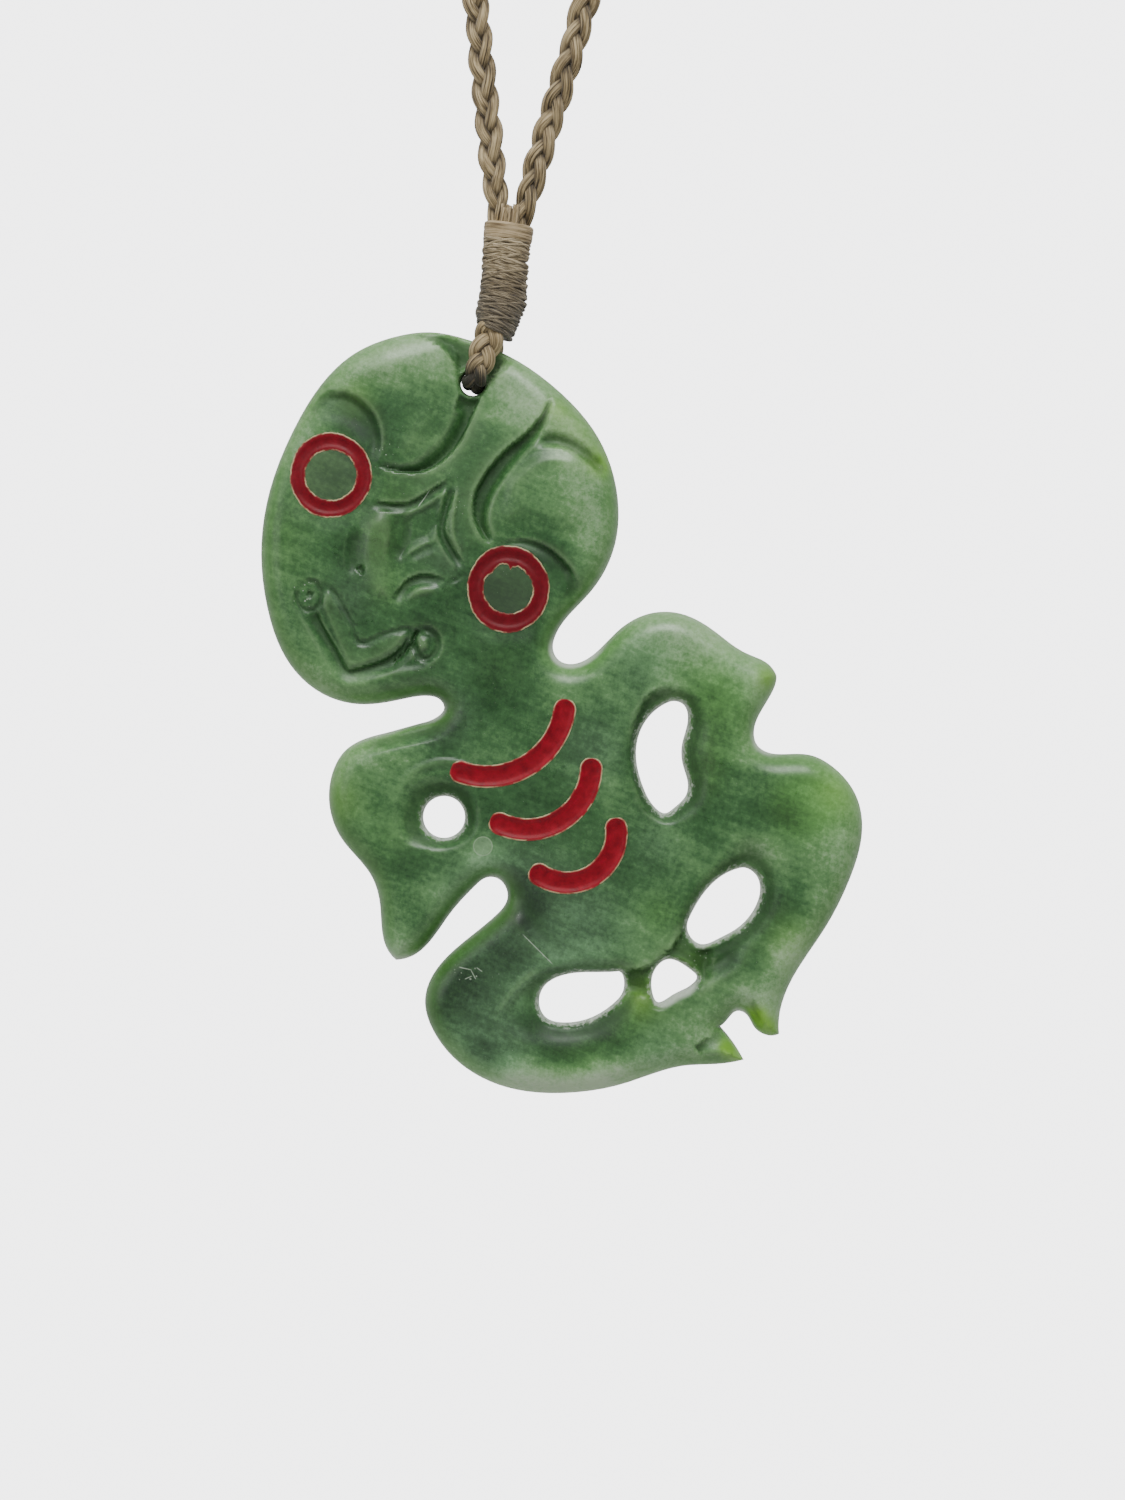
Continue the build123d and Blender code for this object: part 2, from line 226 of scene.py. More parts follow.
headStrokes = {
    "noseBridge": (0.55, 1.0, 0.40, 0.22, [
        (815, 630), (750, 670), (700, 703), (640, 735), (590, 742), (520, 736), (462, 716)]),
    "noseSide": (0.62, 0.55, 0.80, 0.2, [
        (812, 640), (798, 700), (772, 790), (766, 850), (798, 920), (838, 975), (868, 1008)]),
    "noseSideEdge": (-0.22, 0.4, 0.4, 0.2, [(830, 660), (818, 740), (808, 810), (815, 880), (850, 945)]),
    "noseUnder": (0.28, 0.6, 0.9, 0.45, [(615, 968), (680, 927), (735, 902), (764, 884)]),
    "noseRidgeSide": (0.38, 1.4, 1.6, 0.3, [(575, 750), (600, 800), (600, 860), (590, 920), (580, 985)]),
    "noseLeft": (0.36, 1.6, 1.0, 0.3, [(425, 820), (410, 880), (402, 940), (408, 1000), (430, 1035)]),
    "nostrilPit": (0.45, 0.55, 0.55, 0.3, [(425, 985), (440, 1005), (432, 1022)]),
    "nostrilLine": (0.60, 0.40, 1.6, 0.3, [
        (565, 1145), (588, 1100), (628, 1052), (680, 1030), (740, 1036), (795, 1060)]),
    "nostrilLens": (-0.26, 0.9, 0.9, 0.4, [(600, 1130), (650, 1095), (705, 1080), (765, 1075)]),
    "nostrilTail": (0.26, 0.5, 0.5, 0.4, [(775, 1060), (835, 1036), (880, 1000), (908, 972)]),
    "lipGroove": (0.60, 0.45, 1.6, 0.10, [
        (238, 1150), (280, 1240), (330, 1330), (380, 1412), (455, 1402), (540, 1372), (600, 1328), (645, 1265)]),
    "lipUpper": (0.13, 0.30, 0.45, 0.10, [
        (296, 1062), (345, 1110), (398, 1210), (433, 1294), (520, 1262), (600, 1240), (660, 1236)]),
    "leftCornerRing": (0.22, 0.45, 0.45, 0.1, [
        (205, 1050), (250, 1050), (275, 1095), (262, 1150), (215, 1165), (178, 1130), (180, 1075)]),
    "leftCornerPit": (0.35, 0.5, 0.5, 0.3, [(215, 1090), (245, 1110)]),
    "rightCornerRing": (0.30, 0.5, 0.6, 0.08, [
        (668, 1240), (652, 1290), (670, 1345), (705, 1362), (742, 1330), (744, 1280), (715, 1248), (680, 1238)]),
    "rightCornerOval": (-0.35, 0.9, 0.9, 0.4, [(692, 1265), (688, 1300), (700, 1335)]),
    "rightCornerNick": (0.40, 0.25, 0.3, 0.2, [(638, 1330), (650, 1285), (672, 1240)]),
    "rightCornerCross": (0.3, 0.25, 0.25, 0.2, [(560, 1385), (620, 1330), (640, 1290)]),
    "rightCrest": (0.80, 1.2, 1.0, 0.22, [
        (1125, 492), (1185, 478), (1246, 482), (1299, 504), (1357, 546), (1402, 590), (1430, 630)]),
    "leftBrowCrest": (0.62, 1.4, 0.35, 0.10, [
        (590, 28), (647, 38), (712, 60), (756, 86), (795, 123), (820, 165), (835, 210), (840, 290), (822, 370)]),
}

bodyStrokes = {
    "shoulderLine": (0.50, 0.5, 1.6, 0.3, [(100, 425), (180, 397), (260, 380), (330, 363), (372, 335)]),
    "armHoleRim": (-0.20, 0.7, 0.9, 0.3, [(215, 560), (262, 495), (345, 462), (430, 478), (485, 535)]),
    "thighRidge": (-0.25, 0.9, 0.9, 0.3, [(650, 1040), (585, 1080), (535, 1135), (500, 1200)]),
    "heelBridge": (0.05, 0.8, 0.9, 0.3, [(900, 1075), (930, 1120), (925, 1175)]),
    "leftFootCrease": (0.50, 0.45, 1.5, 0.06, [(1066, 1275), (1102, 1252), (1138, 1226), (1158, 1206)]),
    "leftFootRidge": (-0.22, 0.5, 0.7, 0.25, [(1076, 1279), (1135, 1282), (1172, 1293), (1200, 1308)]),
    "rightFootCrease": (0.20, 0.5, 0.9, 0.25, [(1222, 1125), (1240, 1170), (1252, 1215)]),
    "scratchLong": (0.08, 0.12, 0.12, 0.1, [(585, 952), (622, 990), (662, 1034)]),
}

# Areas sunk below the face (raised where the depth is below nought): depth, how wide the step is along
# the first line and along the second, mm, and the two lines that close on each other. With a second
# width below nought the floor is a wedge: deepest at the first line, and back at the face that far away.
headAreas = {
    "leftBrowChannel": (1.25, 0.45, 1.9, [
        (1040, 135), (985, 205), (945, 262), (915, 330), (880, 410), (840, 490), (785, 555), (720, 600), (650, 617),
        (560, 607), (480, 580)], [
        (530, 560), (595, 568), (655, 552), (708, 512), (755, 462), (790, 400), (812, 340), (828, 280), (822, 215),
        (795, 150), (745, 92), (680, 48), (590, 20), (560, -90), (1100, -90), (1110, 40)]),
    "leftTemple": (1.05, 1.3, -9.0, [
        (335, 258), (385, 270), (440, 298), (490, 350), (522, 415), (530, 480), (518, 540), (492, 600)], [
        (470, 760), (330, 760), (200, 640), (170, 480), (190, 360), (240, 290), (290, 262)]),
    "rightLid": (1.10, 0.75, -6.5, [
        (960, 905), (1035, 876), (1115, 874), (1190, 903), (1250, 948), (1315, 1015)], [
        (1335, 1090), (1285, 1150), (1200, 1150), (1110, 1080), (1020, 1010), (940, 970)]),
    "rightBrow": (1.20, 1.40, 0.60, [
        (1214, 252), (1217, 310), (1212, 375), (1194, 434), (1155, 488), (1102, 545), (1052, 603), (1012, 660),
        (982, 715), (966, 765), (964, 812), (976, 858), (985, 895)], [
        (948, 898), (911, 855), (888, 800), (884, 738), (897, 676), (932, 613), (972, 560), (1024, 505), (1081, 459),
        (1129, 412), (1166, 362), (1193, 305), (1205, 254)]),
    "leftLobe": (-0.50, 3.4, 4.2, [
        (500, 290), (540, 400), (545, 490), (580, 560), (660, 565), (735, 510), (790, 425), (820, 330), (822, 230),
        (785, 150), (700, 65), (590, 35)], [
        (470, 90), (400, 170), (400, 245)]),
    "rightLobe": (-0.60, 1.9, 3.6, [
        (975, 700), (1010, 625), (1075, 560), (1150, 515), (1240, 505), (1325, 530), (1395, 590)], [
        (1420, 700), (1390, 800), (1300, 880), (1150, 870), (1010, 850), (965, 790)]),
    "noseLobe": (-0.52, 2.3, 2.5, [
        (460, 740), (424, 810), (412, 900), (417, 1000), (442, 1100), (500, 1165)], [
        (580, 1135), (603, 1040), (608, 940), (602, 850), (582, 780), (535, 740)]),
    "noseFacet": (0.42, 0.8, 1.3, [(596, 800), (640, 762), (700, 735), (762, 700), (768, 770), (758, 850)], [
        (730, 892), (680, 912), (620, 945), (590, 960), (585, 880)]),
    "mouth": (0.28, 1.2, 1.2, [
        (150, 1080), (155, 1150), (205, 1225), (268, 1305), (330, 1388), (392, 1440), (480, 1432), (590, 1424),
        (690, 1412), (752, 1362), (772, 1300), (748, 1245), (695, 1218), (640, 1215)], [
        (560, 1235), (455, 1272), (425, 1250), (400, 1170), (350, 1080), (300, 1045), (240, 1030), (180, 1040)]),
    "lips": (-0.30, 0.8, 0.8, [
        (270, 1110), (272, 1160), (300, 1230), (345, 1330), (385, 1402), (470, 1388), (555, 1350), (612, 1300),
        (648, 1245)], [
        (560, 1252), (440, 1296), (402, 1215), (345, 1118), (305, 1075)]),
}

bodyAreas = {
    "bellyEdge": (1.05, 0.45, 1.3, [
        (800, 1062), (850, 1056), (893, 1048), (945, 1030), (995, 988), (1035, 925), (1045, 880)], [
        (1120, 940), (1120, 1040), (1080, 1110), (960, 1140), (860, 1110)]),
    "hipValley": (0.85, 5.0, 3.0, [(560, 730), (625, 790), (685, 870), (725, 950), (745, 1035)], [
        (665, 1045), (600, 985), (552, 920), (528, 860), (520, 780)]),
    "ovalBevel": (0.50, 2.4, 2.6, [
        (650, 1030), (575, 1062), (515, 1115), (495, 1180), (530, 1238), (600, 1274), (700, 1287), (800, 1272),
        (880, 1230), (940, 1150)], [
        (945, 1080), (870, 1050), (740, 1040)]),
    "legArc": (1.10, 3.4, 2.4, [
        (1050, 920), (1085, 820), (1125, 735), (1205, 664), (1290, 690), (1330, 790), (1315, 890), (1240, 1000)], [
        (1195, 1050), (1145, 1082), (1090, 1108), (1062, 1080), (1050, 1020)]),
    "armGap": (1.10, 3.0, 0.8, [
        (1000, 232), (1078, 262), (1120, 340), (1115, 430), (1120, 510), (1095, 595), (1010, 650)], [
        (925, 600), (888, 500), (885, 380), (925, 275)]),
    "armHoleDish": (0.75, 2.3, 1.8, [(205, 615), (245, 525), (340, 490), (440, 530), (470, 610)], [
        (440, 680), (350, 715), (250, 700)]),
}


# closed lines where a level cut at y meets the CAD node, in mm from the hole
def cadLoops(node, y):
    cut = bmesh.new()
    cut.from_mesh(node.data)
    bmesh.ops.remove_doubles(cut, verts=cut.verts[:], dist=1e-6)
    everything = cut.verts[:] + cut.edges[:] + cut.faces[:]
    result = bmesh.ops.bisect_plane(cut, geom=everything, plane_co=(0, y * mm, 0), plane_no=(0, 1, 0))
    links = {}
    for edge in result["geom_cut"]:
        if isinstance(edge, bmesh.types.BMEdge):
            a, b = edge.verts
            links.setdefault(a, []).append(b)
            links.setdefault(b, []).append(a)
    loops = []
    while links:
        start = next(iter(links))
        line, last, here = [start], None, start
        while True:
            onward = [v for v in links.get(here, []) if v is not last]
            if not onward or onward[0] is start and len(line) > 2:
                break
            last, here = here, onward[0]
            if here is start:
                break
            line.append(here)
        for vert in line:
            links.pop(vert, None)
        if len(line) > 8:
            loops.append(np.array([(v.co.x / mm - hole[0], v.co.z / mm - hole[2]) for v in line]))
    cut.free()
    return loops


# the loop again with even steps, its sharp corners kept
def evenLoop(loop, step):
    steps = np.roll(loop, -1, axis=0) - loop
    loop = loop[np.linalg.norm(steps, axis=1) > 0.02]      # without doubled points
    before = loop - np.roll(loop, 1, axis=0)
    after = np.roll(loop, -1, axis=0) - loop
    swing = before[:, 0] * after[:, 1] - before[:, 1] * after[:, 0]
    turn = np.abs(np.degrees(np.arctan2(swing, (before * after).sum(1))))
    corners = list(np.nonzero(turn > stone["cornerTurn"])[0])
    if not corners:
        closed = np.vstack([loop, loop[:1]])
        return evenLine(closed, step)[:-1]
    made = []
    for k, corner in enumerate(corners):
        onward = corners[(k + 1) % len(corners)]
        count = (onward - corner) % len(loop) or len(loop)
        stretch = loop[[(corner + i) % len(loop) for i in range(count + 1)]]
        made.append(evenLine(stretch, step)[:-1])
    return np.vstack(made)


# above nought where the loop runs anticlockwise
def signedArea(loop):
    x, z = loop[:, 0], loop[:, 1]
    return 0.5 * (x * np.roll(z, -1) - z * np.roll(x, -1)).sum()


# a line of a sketch in mm right of the hole and up
def sketchLine(sketch, points):
    given = np.array(points, float)
    given = (given - sketch["hole"]) * sketch["step"]
    given[:, 1] *= -1
    return smoothLine(given, stone["sketchStep"])


strokes, areas = [], []
for sketch, strokeTable, areaTable in ((headSketch, headStrokes, headAreas), (bodySketch, bodyStrokes, bodyAreas)):
    for depth, left, right, fade, points in strokeTable.values():
        strokes.append((depth, left, right, fade, sketchLine(sketch, points)))
    for depth, firstWidth, secondWidth, first, second in areaTable.values():
        backAgain = [first[-1]] + second + [first[0]]
        areas.append((depth, firstWidth, secondWidth, sketchLine(sketch, first), sketchLine(sketch, backAgain)))

stoneLoops = []
for loop in cadLoops(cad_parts["tiki_stone"], hole[1]):
    large = abs(signedArea(loop)) > stone["holeArea"]
    stoneLoops.append(evenLoop(loop, stone["boundaryStep"] if large else stone["holeStep"]))
stoneLoops.sort(key=lambda loop: -abs(signedArea(loop)))
for k, loop in enumerate(stoneLoops):      # the outline first, and the stone on the left of each
    stoneLoops[k] = loop if (signedArea(loop) > 0) == (k == 0) else loop[::-1]
loopRounds = [stone["edgeRound"]]
for loop in stoneLoops[1:]:
    middle = loop.mean(0)
    if np.hypot(*middle) < 1.5:      # the hanging hole itself
        loopRounds.append(stone["landRound"])
    else:
        loopRounds.append(min(gapRounds, key=lambda gap: np.hypot(*(middle - gap[0])))[1])
print("stone outline:", len(stoneLoops), "loops,", sum(len(loop) for loop in stoneLoops), "points")


# distance to each loop of the outline
def edgeDistances(points):
    return np.stack([lineDistance(points, loop, np.roll(loop, -1, axis=0))[0] for loop in stoneLoops], axis=1)


# how far a place is outside the room that the cord's leg sweeps as the stone swings
def cordRoom(points):
    reach = np.hypot(points[:, 0], points[:, 1])
    angle = np.degrees(np.arctan2(points[:, 0], points[:, 1]))
    low, high = stone["cordAngles"]
    off = np.maximum(np.maximum(low - angle, angle - high), 0)
    side = np.where(off < 90, reach * np.sin(np.radians(np.minimum(off, 90))), reach)
    return side - stone["cordRoom"]


# half thickness with its rounded edges, before carving
def baseHeight(points, distances):
    away = np.hypot(points[:, 0] - stone["domeMiddle"][0], points[:, 1] - stone["domeMiddle"][1])
    height = stone["halfThickness"] - stone["domeFall"] * (away / stone["domeReach"]) ** 2
    reach = np.hypot(points[:, 0], points[:, 1])
    height = height - stone["hollowDepth"] * np.exp(-((reach / stone["hollowReach"]) ** 2))
    underCord = stone["cordLand"] + stone["cordSlope"] * np.maximum(cordRoom(points), 0)
    height = softMin(height, underCord, stone["cordBlend"])
    share = np.ones(len(points))
    for k, width in enumerate(loopRounds):
        t = np.clip(distances[:, k] / width, 0, 1)
        power = stone["edgePower"] if k == 0 else stone["gapPower"]
        share = np.minimum(share, (1 - (1 - t) ** power) ** (1 / power))
    return height * share


# depth cut into the front at each place
def carving(points):
    total = np.zeros(len(points))
    for depth, left, right, fade, line in strokes:
        widest = max(left, right)
        near = np.all((points > line.min(0) - widest) & (points < line.max(0) + widest), axis=1)
        if not near.any():
            continue
        some = points[near]
        distance, side, place = lineDistance(some, line[:-1], line[1:])
        width = np.where(side > 0, left, right)
        share = np.clip(1 - distance / width, 0, 1)
        share = share**1.5 * (2.5 - 1.5 * share)      # a rounded floor
        place = place / (len(line) - 1)
        ends = smoothStep(np.minimum(place, 1 - place) / max(fade, 1e-3))
        total[near] += depth * share * ends
    for depth, firstWidth, secondWidth, first, second in areas:
        border = np.vstack([first, second])
        near = np.all((points > border.min(0)) & (points < border.max(0)), axis=1)
        some = points[near]
        inside = insideLoops(some, [border])
        if not inside.any():
            continue
        some = some[inside]
        firstAway = lineDistance(some, first[:-1], first[1:])[0]
        secondAway = lineDistance(some, second[:-1], second[1:])[0]
        if secondWidth > 0:
            fall = smoothStep(secondAway / secondWidth)
        else:
            fall = np.clip(1 + firstAway / secondWidth, 0, 1) ** stone["wedgePower"]
            fall = fall * smoothStep(secondAway / stone["wedgeEnds"])
        total[np.nonzero(near)[0][inside]] += depth * smoothStep(firstAway / firstWidth) * fall
    for side, (x, z) in wax["eyes"].items():
        reach = np.hypot(points[:, 0] - x, points[:, 1] - z)
        away = smoothStep(reach, *(wax["eyeOuter"] + more for more in wax["eyeShelf"]))
        total = total * away + wax["eyeLevel"][side] * (1 - away)
    return total


# height of the carved face before the channels for the wax
def faceHeight(points, distances=None):
    distances = edgeDistances(points) if distances is None else distances
    base = baseHeight(points, distances)
    hold = smoothStep(distances.min(1), 0.0, stone["carveFade"])
    return np.maximum(base - carving(points) * hold, np.minimum(base, stone["leastHeight"]))


# triangles over the points that keep to the loops' edges, those outside the stone left out
def triangulate(points, loops):
    edges, start = [], 0
    for loop in loops:
        count = len(loop)
        edges += [(start + i, start + (i + 1) % count) for i in range(count)]
        start += count
    found = delaunay_2d_cdt([Vector(p) for p in points.tolist()], edges, [], 0, 1e-7, True)
    origin = [ids[0] if ids else -1 for ids in found[3]]
    triangles = np.array([[origin[i] for i in face] for face in found[2]])
    triangles = triangles[(triangles >= 0).all(1)]
    triangles = triangles[insideLoops(points[triangles].mean(1), stoneLoops)]
    a, b, c = (points[triangles[:, k]] for k in range(3))
    turn = (b[:, 0] - a[:, 0]) * (c[:, 1] - a[:, 1]) - (b[:, 1] - a[:, 1]) * (c[:, 0] - a[:, 0])
    triangles[turn < 0] = triangles[turn < 0][:, ::-1]
    return triangles


# points of an even grid of triangles
def hexGrid(low, high, step):
    rows = np.arange(low[1], high[1], step * 0.866)      # half the root of three
    made = []
    for k, z in enumerate(rows):
        x = np.arange(low[0] + (k % 2) * step / 2, high[0], step)
        made.append(np.stack([x, np.full(len(x), z)], axis=1))
    return np.vstack(made)


wax = {
    "depth": 0.9, "lip": 0.10,                     # of each channel, with a level lip round it
    "wall": 0.18, "wallSpare": 0.02,               # its sloping wall, whose foot ends a little inside the mesh line
    "eyeOuter": 4.86, "eyeInner": 3.12,
    "eyes": {"left": (-16.9, -11.14), "right": (4.26, -24.74)},
    "eyeLevel": {"left": 0.30, "right": 0.30},     # how far each eye lies below the face
    "eyeShelf": (-0.2, 2.6),                       # from the ring's edge out, where that level meets the carving
    "eyeTall": {"left": 0.20, "right": 0.32},      # each ring is a little taller than wide
    "eyeSpill": {"left": 0.16, "right": 0.26},     # and how far it has run in over the eye
    "eyeOver": 0.10, "ribOver": 0.06,              # and outward over the edge of its channel
    "discOver": 0.12,                              # the eye's grey runs in under it by this much
    "eyeDarkened": {"left": 0.48, "right": 0.62}, "ribDarkened": 0.12,
    "eyeSeed": {"left": 3, "right": 8}, "ribSeed": 20,
    # waves along each edge: how many and how large
    "outerWaves": [(3, 0.04), (7, 0.025), (19, 0.02), (43, 0.015)],
    "innerWaves": [(2, 0.04), (9, 0.025), (23, 0.02), (51, 0.015)],
    "ribWaves": [(4, 0.02), (11, 0.015), (23, 0.012)],
    # drips inside the right ring, and nicks below nought: degrees round, width in degrees, size
    "drips": {"left": [], "right": [
        (83, 4.5, 0.62), (74, 4, 0.24), (104, 6, -0.14), (134, 12, 0.24),
        (40, 6, 0.10), (20, 5, -0.08), (-30, 7, 0.10)]},
    "ribStroke": 2.7, "ribRise": 3.4, "lean": 31.0,
    # apex of each rib from the hole, and half its span
    "ribs": [(6.57, -45.74, 7.22), (10.47, -52.31, 6.35), (14.30, -58.89, 5.34)],
    "ribCaps": [1.0, 0.82, 0.62, 0.42, 0.25, 0.12, 0.04],      # sections of its round ends, in shares of its half width
    "eyeDish": 0.12, "ribDish": 0.22,              # how far the wax has sunk in the middle of its stroke
    "dishPower": 1.3, "blunt": 0.0004,             # the dish's fullness, and the tips' half width squared
    # height against the stone from the edge in: dipping under it, then rolled over; and where it has spilled
    "edgeInset": (0.0, 0.06, 0.14, 0.3), "edgeRise": (-0.10, 0.02, 0.03, 0.0),
    "spillInset": (0.0, 0.06), "spillRise": (-0.10, 0.035), "spillEnds": (0.22, 0.55),
    "thin": 0.45, "body": 0.3, "bodyReach": 0.3,   # thickness at its edge, more further in, and how far in
    "eyeSteps": (260, 18), "ribStep": 0.25, "ribAcross": 17, "channelStep": 0.22,
}


def ringLoop(middle, radius):
    count = int(2 * math.pi * radius / wax["channelStep"])
    turn = np.linspace(0, 2 * math.pi, count, endpoint=False)
    return np.stack([middle[0] + radius * np.cos(turn), middle[1] + radius * np.sin(turn)], axis=1)


# the bowed middle line of a rib, square to the body's lean
def ribLine(x, z, half):
    lean = math.radians(wax["lean"])
    rise = wax["ribRise"]
    along, up = np.array([math.cos(lean), math.sin(lean)]), np.array([-math.sin(lean), math.cos(lean)])
    apex = np.array([x, z])
    radius = (half**2 + rise**2) / (2 * rise)
    turn = math.asin(min(1, half / radius))
    angles = np.linspace(-turn, turn, 60)
    middle = apex + up * radius
    return np.array([middle + along * radius * math.sin(a) - up * radius * math.cos(a) for a in angles])


# the outline of a round-ended stroke
def strokeLoop(line, radius):
    tangent = unit(np.gradient(line, axis=0))
    normal = np.stack([-tangent[:, 1], tangent[:, 0]], axis=1)
    heads = []
    for end, sign in ((-1, 1), (0, -1)):
        heads.append([line[end] + radius * (math.sin(a) * sign * tangent[end] + math.cos(a) * sign * normal[end])
                      for a in np.linspace(0, math.pi, 24)])
    outline = np.vstack([line + radius * normal, heads[0], (line - radius * normal)[::-1], heads[1]])
    return evenLine(np.vstack([outline, outline[:1]]), wax["channelStep"])[:-1]


# how far inside the edge of a wax channel each place is
def channelInset(points):
    inside = np.full(len(points), -9.0)
    for x, z in wax["eyes"].values():
        reach = np.hypot(points[:, 0] - x, points[:, 1] - z)
        inside = np.maximum(inside, np.minimum(wax["eyeOuter"] - reach, reach - wax["eyeInner"]))
    for rib in wax["ribs"]:
        line = ribLine(*rib)
        inside = np.maximum(inside, wax["ribStroke"] / 2 - lineDistance(points, line[:-1], line[1:])[0])
    return inside


# depth of the channels at each place
def waxCut(points):
    return wax["depth"] * np.clip((channelInset(points) - wax["lip"]) / (wax["wall"] - wax["wallSpare"]), 0, 1)


waxLoops = []
for place in wax["eyes"].values():
    for inset in (wax["lip"], wax["lip"] + wax["wall"]):
        waxLoops += [ringLoop(place, wax["eyeOuter"] - inset), ringLoop(place, wax["eyeInner"] + inset)]
for rib in wax["ribs"]:
    for inset in (wax["lip"], wax["lip"] + wax["wall"]):
        waxLoops.append(strokeLoop(ribLine(*rib), wax["ribStroke"] / 2 - inset))


# at each point of a loop, the way into the stone
def inwardAt(loop):
    forward = unit(np.roll(loop, -1, axis=0) - np.roll(loop, 1, axis=0))
    return np.stack([-forward[:, 1], forward[:, 0]], axis=1)


# the points that are clear of a loop
def clearOf(points, loop, room):
    near = np.all((points > loop.min(0) - 1) & (points < loop.max(0) + 1), axis=1)
    gap = np.full(len(points), 9.0)
    gap[near] = lineDistance(points[near], loop, np.roll(loop, -1, axis=0))[0]
    return points[gap > room]


# points and triangles of one side of the stone in the plane: rows that follow the edges, and a grid between
def stoneSide(step, rings, extraLoops):
    borders = np.vstack(stoneLoops)
    parts = list(stoneLoops) + list(extraLoops)
    ringPoints = np.vstack([loop + inwardAt(loop) * away for loop in stoneLoops for away in rings])
    offsets = np.concatenate([[away] * len(loop) for loop in stoneLoops for away in rings])
    distances = edgeDistances(ringPoints).min(1)      # where rows of two edges would meet, one gives way
    ringPoints = ringPoints[(distances > offsets * 0.93 - 0.002) & insideLoops(ringPoints, stoneLoops)]
    grid = hexGrid(borders.min(0), borders.max(0), step)
    grid = grid[insideLoops(grid, stoneLoops)]
    grid = grid[edgeDistances(grid).min(1) > rings[-1] + 0.45 * step]
    for extra in extraLoops:
        grid = clearOf(grid, extra, stone["clearOfWax"])
        ringPoints = clearOf(ringPoints, extra, stone["ringsClearOfWax"])
    points = np.vstack(parts + [ringPoints, grid])
    return points, triangulate(points, parts)


frontPoints, frontFaces = stoneSide(stone["frontStep"], stone["rings"], waxLoops)
backPoints, backFaces = stoneSide(stone["backStep"], stone["rings"][1::2], [])
rimCount = sum(len(loop) for loop in stoneLoops)      # the points that front and back share come first
print("stone faces:", len(frontFaces), "front and", len(backFaces), "back")

frontDistances = edgeDistances(frontPoints)
backDistances = edgeDistances(backPoints)
frontHeight = faceHeight(frontPoints, frontDistances)
frontCut = carving(frontPoints)
frontHeight = frontHeight - waxCut(frontPoints)
backHeight = baseHeight(backPoints, backDistances)
frontHeight[:rimCount] = 0
backHeight[:rimCount] = 0


# places on the stone in the shared frame, from their place in the plane and their height to the front
def fromHole(flat, height):
    return np.stack([hole[0] + flat[:, 0], hole[1] - height, hole[2] + flat[:, 1]], axis=1)


stonePoints = np.vstack([fromHole(frontPoints, frontHeight), fromHole(backPoints[rimCount:], -backHeight[rimCount:])])
shift = len(frontPoints) - rimCount
backIndex = np.where(backFaces >= rimCount, backFaces + shift, backFaces)
stoneFaces = np.vstack([frontFaces, backIndex[:, ::-1]])
outerDistance = np.r_[frontDistances[:, 0], backDistances[rimCount:, 0]]
gaps = [k for k, width in enumerate(loopRounds) if k and width != stone["landRound"]]
innerDistance = np.r_[frontDistances[:, gaps].min(1), backDistances[rimCount:, gaps].min(1)]

